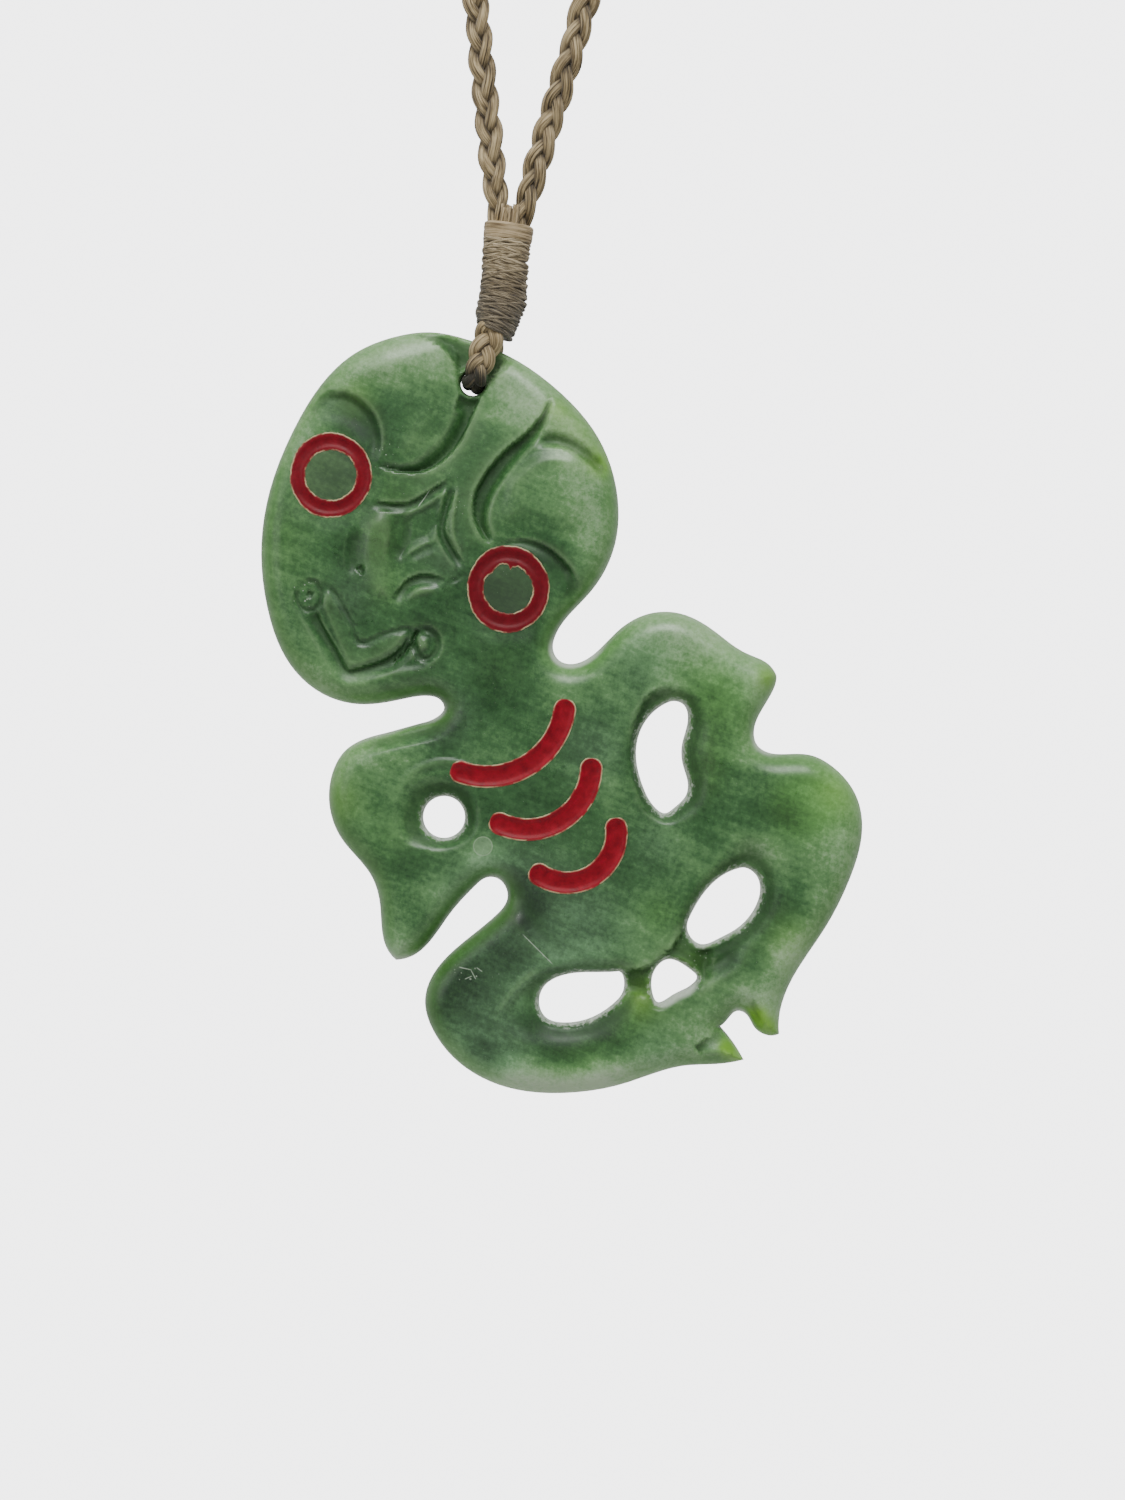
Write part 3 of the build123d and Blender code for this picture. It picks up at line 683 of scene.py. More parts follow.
# Paler and darker clouds in the stone, with painted light and shade among them: place in steps of 0.12 mm, reach in mm,
# strength
cloudSketch = {"step": 0.12, "hole": (473.0, 384.0)}
cloudsAndPaintedLight = [
    (520, 392, 6.0, 0.85), (375, 360, 6.0, 0.8), (450, 345, 5.0, 0.75), (570, 455, 6.0, 0.35), (555, 440, 5.0, 0.3),
    (300, 430, 5.0, 0.5), (395, 495, 4.0, 0.1), (392, 541, 4.0, -0.15), (386, 590, 3.0, 0.30), (560, 684, 2.5, 0.1),
    (410, 662, 3.5, -0.5), (350, 720, 7.0, 0.45), (400, 745, 4.0, 0.1), (560, 662, 3.0, 0.6), (650, 615, 6.0, 0.7),
    (713, 641, 5.0, 0.95), (765, 690, 4.0, 0.8), (790, 790, 6.0, 0.45), (840, 800, 5.0, 0.6), (850, 880, 5.0, 0.6),
    (335, 770, 4.0, 0.2), (420, 840, 5.0, 0.1), (398, 955, 3.0, 1.1), (560, 920, 6.0, 0.3), (460, 1080, 5.5, 0.8),
    (520, 1090, 4.5, 1.5), (600, 1090, 4.5, 1.7), (560, 1046, 5.0, -0.6), (655, 1082, 3.0, 0.8),
    (560, 1092, 3.0, 0.8), (750, 1000, 5.0, 0.45), (520, 720, 3.0, 0.1), (766, 852, 3.2, 0.6), (765, 818, 3.5, -0.35),
    (355, 620, 7.0, -0.4), (300, 480, 5.0, 0.2), (480, 640, 7.0, -0.25), (440, 718, 2.5, -0.5), (350, 408, 3.6, -0.6),
    (590, 560, 5.0, 0.25), (331, 476, 3.6, -0.2), (508, 590, 3.6, -0.35), (560, 800, 9.0, -0.25),
    (600, 860, 7.0, -0.2), (460, 960, 7.0, -0.4), (595, 1016, 3.0, -0.5), (507, 916, 4.5, -0.5),
    (444, 1002, 4.8, -0.6), (750, 760, 5.0, -0.1), (709, 798, 4.5, -0.4), (742, 750, 2.4, 0.5), (690, 877, 3.6, 0.4),
    (540, 449, 2.8, -0.7), (345, 548, 3.0, -0.5), (402, 425, 4.0, 0.2), (425, 435, 4.0, 0.25), (588, 548, 4.0, 0.3),
    (345, 392, 3.0, 0.35), (560, 936, 5.0, -0.3), (460, 600, 4.0, -0.3), (395, 830, 4.0, 0.25), (730, 930, 4.5, -0.4),
    (600, 1015, 6.0, -0.15), (470, 450, 8.0, -0.4), (368, 436, 3.0, -0.5), (372, 462, 2.6, -0.2),
    (385, 510, 5.0, -0.2), (450, 600, 4.0, -0.2), (522, 645, 4.0, -0.5), (470, 500, 5.0, -0.3), (710, 705, 4.0, -0.2),
    (600, 700, 5.0, -0.1), (548, 553, 2.4, -0.7), (768, 905, 2.6, -0.4), (532, 992, 2.6, 0.6),
    (545, 1050, 4.0, -0.35), (487, 1051, 2.6, -0.9), (602, 1050, 3.0, -0.4), (380, 800, 4.0, -0.25),
    (408, 866, 2.6, -0.35), (436, 895, 2.6, 0.45), (620, 780, 4.0, 0.1), (683, 872, 3.0, -0.55),
    (787, 902, 4.0, -0.5), (785, 812, 3.5, -0.45), (440, 750, 4.0, -0.35), (485, 812, 4.0, -0.5),
    (500, 690, 3.0, -0.4), (690, 655, 3.5, -0.45), (664, 694, 2.4, 0.35), (322, 692, 2.4, 0.4), (455, 478, 4.0, 0.4),
    (395, 392, 4.0, -0.35), (750, 958, 3.5, -0.4), (690, 1035, 5.0, 0.45), (792, 955, 4.2, 0.85),
    (680, 840, 4.0, 0.15), (748, 1054, 2.2, 0.6), (773, 1010, 2.2, 0.5), (744, 992, 2.2, 0.4), (482, 866, 3.0, 0.5),
    (290, 690, 5.0, 0.4), (405, 410, 5.0, -0.40), (566, 571, 2.4, -0.4), (590, 480, 5.0, 0.3), (640, 940, 5.0, 0.15),
    (441, 339, 1.0, -0.5), (450, 346, 1.2, -0.6), (458, 355, 1.3, -0.5), (530, 905, 2.4, -0.5), (518, 880, 1.8, -0.3),
    (722, 962, 1.6, -0.6),
]
# Painted glow of light through the thin tips: place in the clouds' steps, reach in mm, strength
paintedGlowTips = [
    (602, 464, 2.0, 0.6), (556, 410, 1.5, 0.35), (640, 985, 2.2, 0.35), (727, 1046, 1.3, 0.9), (742, 1056, 1.4, 0.9),
    (754, 1014, 1.3, 0.9), (768, 1028, 2.0, 0.7), (772, 678, 2.2, 0.7), (838, 790, 4.0, 0.35), (645, 1000, 3.0, 0.3),
    (690, 960, 3.0, 0.35), (285, 560, 5.0, 0.12), (330, 730, 4.0, 0.2), (335, 800, 4.0, 0.3), (580, 430, 4.0, 0.35),
    (355, 400, 3.0, 0.25), (790, 940, 4.0, 0.25),
]
# where the outer edge and the gaps' walls are ground bare and pale, partly painted highlight
bareEdgesAndHighlights = [
    (572, 668, 3.2, 1.0), (552, 655, 2.0, 0.8), (600, 662, 2.5, 0.6), (439, 717, 2.0, 0.7), (755, 752, 3.0, 0.8),
    (400, 956, 2.0, 0.7), (737, 1010, 1.6, 0.9), (365, 741, 3.5, 0.35), (500, 870, 2.0, 0.7), (390, 735, 3.0, 0.4),
    (640, 1064, 1.5, 0.6),
]
bareWallsAndHighlights = [(668, 1001, 1.5, 1.0), (689, 993, 1.6, 1.0), (700, 945, 1.4, 0.5), (594, 1022, 1.4, 0.4)]


# Normals worked out from the height itself, because the slim triangles at the edges would ripple in the gloss
def faceNormals(points, heightOf, outward):
    away, nearest = np.zeros_like(points), np.full(len(points), 1e9)
    for loop in stoneLoops:
        ends = np.roll(loop, -1, axis=0)
        distance, _, place = lineDistance(points, loop, ends)
        segment = np.minimum(place.astype(int), len(loop) - 1)
        along = ends[segment] - loop[segment]
        closest = loop[segment] + (place - segment)[:, None] * along
        offEdge = distance[:, None] > stone["onEdge"]
        inward = np.where(offEdge, points - closest, np.stack([-along[:, 1], along[:, 0]], axis=1))
        near = distance < nearest
        away[near] = unit(inward)[near]
        nearest = np.minimum(nearest, distance)
    start = 0
    for loop in stoneLoops:      # the outline's own points come first
        away[start:start + len(loop)] = inwardAt(loop)
        start += len(loop)
    across = np.stack([-away[:, 1], away[:, 0]], axis=1)
    here, probe = heightOf(points), stone["probe"]
    slope = sum(way * ((heightOf(points + way * probe) - here) / probe)[:, None] for way in (away, across))
    normals = np.stack([-slope[:, 0], np.full(len(points), outward), -slope[:, 1]], axis=1)
    normals[:start] = np.stack([-away[:start, 0], np.zeros(start), -away[:start, 1]], axis=1)
    return unit(normals)


frontNormals = faceNormals(frontPoints, faceHeight, -1.0)
backNormals = faceNormals(backPoints, lambda points: baseHeight(points, edgeDistances(points)), 1.0)
stoneNormals = np.vstack([frontNormals, backNormals[rimCount:]])
print("stone surface worked out")

# where the stone is greyer and bluer, and where it is a fresher, yellower green
coolShades = [
    (505, 895, 8.0, 0.9), (570, 935, 8.0, 0.8), (475, 1012, 6.0, 0.8), (440, 715, 4.5, 0.8), (357, 596, 4.0, 0.6),
    (590, 748, 5.0, 0.7), (655, 842, 4.0, 0.5), (502, 1048, 4.0, 0.5), (380, 945, 3.0, 0.5), (655, 1050, 4.0, 0.4),
    (445, 560, 3.0, 0.6), (640, 665, 5.0, 0.5),
]
freshShades = [
    (715, 700, 6.0, 0.8), (695, 772, 4.0, 0.8), (797, 805, 4.0, 1.0), (832, 800, 6.0, 0.5), (725, 912, 4.0, 0.9),
    (658, 912, 3.0, 0.6), (620, 1012, 4.0, 0.7), (575, 1052, 4.0, 0.5), (588, 640, 4.0, 0.6), (500, 668, 4.0, 0.4),
    (392, 838, 5.0, 0.4), (285, 520, 5.0, 0.5), (383, 545, 3.2, 0.6), (386, 592, 3.0, 0.5), (395, 498, 4.0, 0.5),
]
# Scratches on the front: middle in the clouds' steps, length in mm, and how far each leans down to the right
scratches = [
    (538, 948, 4.8, 45), (466, 967, 1.5, 12), (474, 973, 1.2, 62), (469, 976, 0.9, -24), (480, 968, 0.8, 35),
    (345, 1030, 2.2, 60), (425, 500, 2.4, -55),
]
scuffs = [
    (475, 975, 2.2, 1.0), (345, 1030, 1.6, 0.5), (500, 930, 2.5, 0.4), (400, 480, 3.5, 0.35), (450, 520, 3.0, 0.4),
    (309, 596, 1.8, 1.0), (428, 644, 2.2, 0.6), (690, 965, 2.0, 0.8), (385, 460, 1.4, 0.8),
]


# a place in the clouds' steps, in mm right of the hole and up
def cloudPlace(x, y):
    return (x - cloudSketch["hole"][0]) * cloudSketch["step"], (cloudSketch["hole"][1] - y) * cloudSketch["step"]


# the strength of all the soft spots of a table, at each point
def cloudField(points, table):
    total = np.zeros(len(points))
    for x, y, reach, strength in table:
        place = cloudPlace(x, y)
        away2 = (points[:, 0] - place[0]) ** 2 + (points[:, 1] - place[1]) ** 2
        total += strength * np.exp(-away2 / reach**2)
    return total


# What the material reads at each point, from 0 to 1, the cuts in mm: how far each reaches or how deep it is when full.
# Grooves and crests are where the face lies below or above its surroundings after a few rounds of evening out,
# basins and swells after many.
reads = {
    "paintedRimGlow": 6.0, "pierced": 3.0, "cut": 2, "groove": 0.12, "basin": 0.45,
    "nearRounds": 6, "wideRounds": 70, "cutRounds": 3,
    "bareAndHighlightEdge": 0.9, "bareAndHighlightWall": 0.8, "bareAndHighlightWallFull": 1.3,
}


# each value evened out with those of the points next to it
def aroundEach(values, faces, rounds):
    pairs = np.vstack([faces[:, [0, 1]], faces[:, [1, 2]], faces[:, [2, 0]]])
    pairs = np.vstack([pairs, pairs[:, ::-1]])
    count = np.maximum(np.bincount(pairs[:, 0], minlength=len(values)), 1)
    for _ in range(rounds):
        values = 0.3 * values + 0.7 * np.bincount(pairs[:, 0], values[pairs[:, 1]], len(values)) / count
    return values


flatPoints = np.vstack([frontPoints, backPoints[rimCount:]])
spareBack = np.zeros(len(backPoints) - rimCount)
frontSunk = frontCut * smoothStep(frontDistances.min(1), 0.0, stone["carveFade"])
nearMean = aroundEach(frontSunk, frontFaces, reads["nearRounds"])
cavity = np.r_[frontSunk - nearMean, spareBack]
wideMean = aroundEach(nearMean, frontFaces, reads["wideRounds"])
basin = np.r_[frontSunk - wideMean, spareBack]
bareAndHighlight = cloudField(flatPoints, bareEdgesAndHighlights) * np.clip(1 - outerDistance / reads["bareAndHighlightEdge"], 0, 1)
wallShare = np.clip(reads["bareAndHighlightWallFull"] - innerDistance / reads["bareAndHighlightWall"], 0, 1)
bareAndHighlight = bareAndHighlight + cloudField(flatPoints, bareWallsAndHighlights) * wallShare
disc = np.zeros(len(frontPoints))
for x, z in wax["eyes"].values():
    within = np.hypot(frontPoints[:, 0] - x, frontPoints[:, 1] - z) < wax["eyeInner"] + wax["discOver"]
    disc = np.maximum(disc, within * 1.0)
tikiStone = makeMesh("carvedStone", stonePoints, stoneFaces, {
    "paintedRimGlow": np.clip(outerDistance / reads["paintedRimGlow"], 0, 1),
    "pierced": np.clip(innerDistance / reads["pierced"], 0, 1),
    "cut": np.r_[aroundEach(np.clip(frontSunk, 0, reads["cut"]), frontFaces, reads["cutRounds"]), spareBack],
    "groove": np.clip(cavity / reads["groove"], 0, 1),
    "crest": np.clip(-cavity / reads["groove"], 0, 1),
    "basin": np.clip(basin / reads["basin"], 0, 1),
    "swell": np.clip(-basin / reads["basin"], 0, 1),
    "bareAndHighlight": bareAndHighlight,
    "disc": np.r_[disc, spareBack],
    "scuff": cloudField(flatPoints, scuffs),
    "cloudAndPaintedLight": cloudField(flatPoints, cloudsAndPaintedLight),
    "paintedGlow": cloudField(flatPoints, paintedGlowTips),
    "cool": cloudField(flatPoints, coolShades),
    "fresh": cloudField(flatPoints, freshShades),
}, normals=stoneNormals)
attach(tikiStone, "pendant")
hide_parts("tiki_stone")
print("stone carved:", len(stonePoints), "points")


# Shades over the stone's own green, many of them painted light and shade, in order: the measure and its two ends,
# the strength at each end, the colour and how it is laid
stoneTints = [
    ("cool", 0.0, 1.0, 0.0, 0.8, "#476548", "COLOR"),       # the streaks of the slab differ in hue too
    ("fresh", 0.0, 1.0, 0.0, 0.7, "#4A7A38", "COLOR"),
    ("paintedGlow", 0.0, 1.0, 0.0, 1.0, "#7FB42C", "MIX"),        # painted glow of yellow light through the thin tips
    ("paintedRimGlow", 0.0, 0.42, 0.42, 0.0, "#6BA150", "MIX"),       # painted glow at the outer edge, a little
    ("cut", 0.05, 1.3, 0.0, 0.37, "#1C431B", "MIX"),       # painted shade in the deep cuts
    ("pierced", 0.14, 0.85, 0.34, 0.0, "#1B4D12", "MIX"),  # painted shade on the slopes down to the gaps
    ("basin", 0.0, 1.0, 0.0, 0.28, "#24551B", "MIX"),      # painted shade in the hollows between the lobes
    ("swell", 0.0, 1.0, 0.0, 0.22, "#93B97F", "MIX"),      # painted light on what stands up
    ("groove", 0.1, 1.0, 0.0, 0.28, "#12300F", "MIX"),     # painted shade in the bottoms of the cuts
    ("crest", 0.2, 1.0, 0.0, 0.12, "#A4C492", "MIX"),      # painted highlight on their edges
    ("wall", -0.02, 0.20, 0.85, 0.0, "#CFD8CA", "MIX"),    # ground walls of the gaps, unpolished and pale, partly painted reflection
    ("bareAndHighlight", 0.1, 0.8, 0.0, 0.75, "#C9D3C4", "MIX"),       # and the saw cuts at the outer notches, pale partly with painted highlight
    ("disc", 0.0, 1.0, 0.0, 0.50, "#424D3C", "MIX"),       # the eyes are greyer than the face
]


# Nephrite, a tough felted jade ground and hand polished: waxy gloss, light goes a little way in, and the glow at thin
# tips and the outer edge is painted
def makeGreenstone():
    material, tree = newMaterial("Polished nephrite greenstone")
    place = addNode(tree, "ShaderNodeTexCoord").outputs["Object"]
    measure = {}
    for key in ("paintedRimGlow", "pierced", "cut", "groove", "crest", "basin", "swell", "bareAndHighlight", "disc", "cloudAndPaintedLight", "paintedGlow", "cool",
                "fresh", "scuff"):
        measure[key] = addNode(tree, "ShaderNodeAttribute", {"attribute_name": key}).outputs["Fac"]
    # streaks along the slab run down to the right, about 1.3 by 7 mm; mottling is 8 mm across, felted grain 0.6 mm
    slab = addNode(tree, "ShaderNodeMapping", {"vector_type": "TEXTURE"}, {
        "Vector": place, "Rotation": (0, math.radians(22), 0), "Scale": (0.007, 0.007, 0.0013)}).outputs["Vector"]
    # place, scale, detail, roughness, distortion and weight of each, and its weight where the stone is pale
    noises = [
        (place, 120.0, 3.0, 0.5, 0.6, 0.31, 0.24),
        (slab, 1.0, 5.0, 0.72, 0.3, 0.33, 0.20),
        (place, 1600.0, 5.0, 0.75, 0.0, 0.40, 0.40),
    ]
    # the clouds and the painted light and shade lighten or darken a middle tone
    tone = addNode(tree, "ShaderNodeMath", {"operation": "MULTIPLY_ADD"}, {
        0: measure["cloudAndPaintedLight"], 1: 0.27, 2: 0.457}).outputs[0]
    for vector, scale, detail, rough, distortion, weight, paleWeight in noises:
        noise = addNode(tree, "ShaderNodeTexNoise", inputs={
            "Vector": vector, "Scale": scale, "Detail": detail, "Roughness": rough,
            "Distortion": distortion}).outputs["Fac"]
        weight = addNode(tree, "ShaderNodeMapRange", inputs={
            "Value": measure["cloudAndPaintedLight"], "From Min": 0.0, "From Max": 0.7, "To Min": weight,
            "To Max": paleWeight}).outputs[0]
        away = addNode(tree, "ShaderNodeMath", {"operation": "SUBTRACT"}, {0: noise, 1: 0.5}).outputs[0]
        tone = addNode(tree, "ShaderNodeMath", {"operation": "MULTIPLY_ADD"}, {0: away, 1: weight, 2: tone}).outputs[0]
    grain = noise
    # the pale ground walls, partly painted reflection, end in an uneven line
    fuzz = addNode(tree, "ShaderNodeMath", {"operation": "MULTIPLY_ADD"}, {0: grain, 1: 0.8, 2: -0.4}).outputs[0]
    measure["wall"] = addNode(tree, "ShaderNodeMath", {"operation": "ADD"}, {0: fuzz, 1: measure["pierced"]}).outputs[0]
    green = addNode(tree, "ShaderNodeValToRGB", inputs={"Fac": tone}, stops=[
        (0.15, "#14341A"), (0.28, "#234823"), (0.41, "#3D663A"), (0.54, "#628D57"), (0.68, "#97B78A"),
        (0.84, "#C6D6BC")]).outputs["Color"]
    for key, low, high, lowStrength, highStrength, colour, way in stoneTints:
        share = addNode(tree, "ShaderNodeMapRange", {"interpolation_type": "SMOOTHSTEP"}, {
            "Value": measure[key], "From Min": low, "From Max": high, "To Min": lowStrength,
            "To Max": highStrength}).outputs[0]
        green = addNode(tree, "ShaderNodeMix", {"data_type": "RGBA", "blend_type": way}, {
            0: share, 6: green, 7: toLinear(colour)}).outputs[2]
    # pale flecks about 0.2 mm wide, thick where the stone is scuffed
    cells = addNode(tree, "ShaderNodeTexVoronoi", inputs={"Vector": place, "Scale": 1700.0}).outputs["Distance"]
    reach = addNode(tree, "ShaderNodeMath", {"operation": "MULTIPLY_ADD"}, {
        0: measure["scuff"], 1: 0.16, 2: 0.055}).outputs[0]
    fleck = addNode(tree, "ShaderNodeMath", {"operation": "LESS_THAN"}, {0: cells, 1: reach}).outputs[0]
    patch = addNode(tree, "ShaderNodeTexNoise", inputs={"Vector": place, "Scale": 300.0, "Detail": 2.0}).outputs["Fac"]
    patch = addNode(tree, "ShaderNodeMapRange", inputs={
        "Value": patch, "From Min": 0.48, "From Max": 0.62, "To Max": 0.5}).outputs[0]
    fleck = addNode(tree, "ShaderNodeMath", {"operation": "MULTIPLY"}, {0: fleck, 1: patch}).outputs[0]
    green = addNode(tree, "ShaderNodeMix", {"data_type": "RGBA"}, {
        0: fleck, 6: green, 7: toLinear("#C4D2BC")}).outputs[2]
    # scratches, each a thin box 0.12 mm wide through the front face
    for x, y, long, leaning in scratches:
        right, up = cloudPlace(x, y)
        middle = [(hole[0] + right) * mm, (hole[1] - 3.5) * mm, (hole[2] + up) * mm]
        box = addNode(tree, "ShaderNodeMapping", {"vector_type": "TEXTURE"}, {
            "Vector": place, "Location": middle, "Rotation": (0, math.radians(leaning), 0),
            "Scale": (long / 2 * mm, 2 * mm, 0.06 * mm)}).outputs["Vector"]
        box = addNode(tree, "ShaderNodeVectorMath", {"operation": "ABSOLUTE"}, {0: box}).outputs[0]
        sides = addNode(tree, "ShaderNodeSeparateXYZ", inputs={0: box}).outputs
        far = addNode(tree, "ShaderNodeMath", {"operation": "MAXIMUM"}, {0: sides["X"], 1: sides["Y"]}).outputs[0]
        far = addNode(tree, "ShaderNodeMath", {"operation": "MAXIMUM"}, {0: far, 1: sides["Z"]}).outputs[0]
        mark = addNode(tree, "ShaderNodeMapRange", inputs={
            "Value": far, "From Min": 0.8, "From Max": 1.1, "To Min": 0.55, "To Max": 0.0}).outputs[0]
        green = addNode(tree, "ShaderNodeMix", {"data_type": "RGBA"}, {
            0: mark, 6: green, 7: toLinear("#BFCDB8")}).outputs[2]
    # a drilled spot plugged with paler stone: a disc with a thin ring, 2.3 mm across
    spot = tuple((hole + np.array(stone["plug"])) * mm)
    away = addNode(tree, "ShaderNodeVectorMath", {"operation": "DISTANCE"}, {0: place, 1: spot}).outputs["Value"]
    disc = addNode(tree, "ShaderNodeMapRange", inputs={
        "Value": away, "From Min": 0.00108, "From Max": 0.00116, "To Min": 0.38, "To Max": 0.0}).outputs[0]
    green = addNode(tree, "ShaderNodeMix", {"data_type": "RGBA"}, {
        0: disc, 6: green, 7: toLinear("#8FAE86")}).outputs[2]
    ring = addNode(tree, "ShaderNodeMath", {"operation": "COMPARE"}, {0: away, 1: 0.00112, 2: 0.00007}).outputs[0]
    ring = addNode(tree, "ShaderNodeMath", {"operation": "MULTIPLY"}, {0: ring, 1: 0.4}).outputs[0]
    green = addNode(tree, "ShaderNodeMix", {"data_type": "RGBA"}, {
        0: ring, 6: green, 7: toLinear("#A9C09E")}).outputs[2]
    polish = addNode(tree, "ShaderNodeTexNoise", inputs={
        "Vector": place, "Scale": 350.0, "Detail": 4.0}).outputs["Fac"]
    roughness = addNode(tree, "ShaderNodeMapRange", inputs={
        "Value": polish, "From Min": 0.3, "From Max": 0.7, "To Min": 0.37, "To Max": 0.50}).outputs[0]
    # the cuts are less polished, and the gaps' walls too
    for key, weight in (("groove", 0.22), ("cut", 0.06), ("pierced", -0.10)):
        roughness = addNode(tree, "ShaderNodeMath", {"operation": "MULTIPLY_ADD"}, {
            0: measure[key], 1: weight, 2: roughness}).outputs[0]
    bump = addNode(tree, "ShaderNodeBump", inputs={
        "Strength": 0.06, "Distance": 0.0002, "Height": grain}).outputs["Normal"]
    shader = addNode(tree, "ShaderNodeBsdfPrincipled", inputs={
        "Base Color": green, "Roughness": roughness, "IOR": 1.61, "Specular IOR Level": 0.35, "Normal": bump,
        "Subsurface Weight": 0.25, "Subsurface Radius": (0.7, 1.0, 0.5), "Subsurface Scale": 0.0014})
    finishMaterial(tree, shader)
    return material


tikiStone.data.materials.append(makeGreenstone())


# an uneven edge: a few waves round the stroke
def waxRough(turn, seed, parts):
    dice = random.Random(seed)
    total = np.zeros_like(turn)
    for waves, size in parts:
        total += size * np.sin(waves * turn + dice.uniform(0, 6.28))
    return total


# height of the wax against the stone: at the very edge it dips under it, then rolls over and sinks to the middle
def waxProfile(flat, inset, across, dish):
    rise = np.interp(inset, wax["edgeInset"], wax["edgeRise"])
    sunk = rise - dish * np.clip(1 - across**2, 0, 1) ** wax["dishPower"]
    spilled = np.interp(inset, wax["spillInset"], wax["spillRise"])
    inChannel = smoothStep(channelInset(flat), *wax["spillEnds"])
    return sunk * inChannel + spilled * (1 - inChannel)


# a strip of wax in rows across its stroke: its top on the carved face, an underside in the channel, and edges
def waxStrip(flat, inset, rise, acrossCount, ring):
    height = faceHeight(flat) + rise
    below = height - wax["thin"] - wax["body"] * np.clip(inset / wax["bodyReach"], 0, 1)
    points = np.vstack([fromHole(flat, height), fromHole(flat, below)])
    rows, under, faces = len(flat) // acrossCount, len(flat), []
    for i in range(rows if ring else rows - 1):
        n = (i + 1) % rows
        for j in range(acrossCount - 1):
            a, b = i * acrossCount + j, n * acrossCount + j
            faces.append((a, b, b + 1, a + 1))
            faces.append((a + 1 + under, b + 1 + under, b + under, a + under))
        for j, flip in ((0, True), (acrossCount - 1, False)):
            a, b = i * acrossCount + j, n * acrossCount + j
            face = (a, b, b + under, a + under)
            faces.append(face[::-1] if flip else face)
    if ring:
        return points, [face[::-1] for face in faces]      # a ring runs the other way round
    for i, flip in ((0, False), (rows - 1, True)):
        for j in range(acrossCount - 1):
            a = i * acrossCount + j
            face = (a, a + 1, a + 1 + under, a + under)
            faces.append(face[::-1] if flip else face)
    return points, faces


def eyeRing(side):
    middle, seed = wax["eyes"][side], wax["eyeSeed"][side]
    aroundCount, acrossCount = wax["eyeSteps"]
    turn = np.linspace(0, 2 * math.pi, aroundCount, endpoint=False)
    outer = wax["eyeOuter"] + wax["eyeOver"] + wax["eyeTall"][side] * np.sin(turn) ** 2
    outer = outer + waxRough(turn, seed, wax["outerWaves"])
    inner = wax["eyeInner"] - wax["eyeSpill"][side] + waxRough(turn, seed + 1, wax["innerWaves"])
    for place, wide, size in wax["drips"][side]:
        inner = inner - size * np.exp(-(((turn - math.radians(place)) / math.radians(wide)) ** 2))
    width = (outer - inner)[:, None]
    share = 0.5 - 0.5 * np.cos(math.pi * np.linspace(0, 1, acrossCount))
    radius = inner[:, None] + width * share[None]
    x = middle[0] + radius * np.cos(turn)[:, None]
    z = middle[1] + radius * np.sin(turn)[:, None]
    flat = np.stack([x.ravel(), z.ravel()], axis=1)
    inset = (np.minimum(share, 1 - share)[None] * width).ravel()
    rise = waxProfile(flat, inset, np.broadcast_to(share * 2 - 1, x.shape).ravel(), wax["eyeDish"])
    points, faces = waxStrip(flat, inset, rise, acrossCount, True)
    piece = makeMesh("waxEye" + side.capitalize(), points, faces, {
        "inset": np.r_[inset, inset], "darkened": np.full(len(points), wax["eyeDarkened"][side])})
    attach(piece, "pendant")
    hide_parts("eye_ring_" + side)
    return piece


def chestRib(number, rib):
    line = evenLine(ribLine(*rib), wax["ribStep"])
    radius = wax["ribStroke"] / 2 + wax["ribOver"]
    tangent = unit(np.gradient(line, axis=0))
    caps = np.array(wax["ribCaps"]) * radius
    startCap = [line[0] - tangent[0] * c for c in caps]
    endCap = [line[-1] + tangent[-1] * c for c in caps[::-1]]
    spine = np.vstack([startCap, line, endCap])
    tangents = np.vstack([[tangent[0]] * len(caps), tangent, [tangent[-1]] * len(caps)])
    normals = np.stack([-tangents[:, 1], tangents[:, 0]], axis=1)
    over = np.r_[caps, np.zeros(len(line)), caps[::-1]]
    place = np.arange(len(spine)) / len(spine) * 2 * math.pi
    half = np.sqrt(np.maximum(radius**2 - over**2, wax["blunt"]))
    half = half * (1 + waxRough(place, wax["ribSeed"] + number, wax["ribWaves"]))
    share = -np.cos(np.linspace(0, math.pi, wax["ribAcross"]))
    across = half[:, None] * share[None]
    flat = (spine[:, None] + normals[:, None] * across[..., None]).reshape(-1, 2)
    off = np.sqrt(np.maximum(over[:, None] ** 2 + across**2, 0)).ravel()
    inset = np.maximum(radius - off, 0)
    rise = waxProfile(flat, inset, np.clip(off / radius, 0, 1), wax["ribDish"])
    points, faces = waxStrip(flat, inset, rise, wax["ribAcross"], False)
    piece = makeMesh("waxRib" + str(number), points, faces, {
        "inset": np.r_[inset, inset], "darkened": np.full(len(points), wax["ribDarkened"])})
    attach(piece, "pendant")
    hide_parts("chest_rib_" + str(number))
    return piece
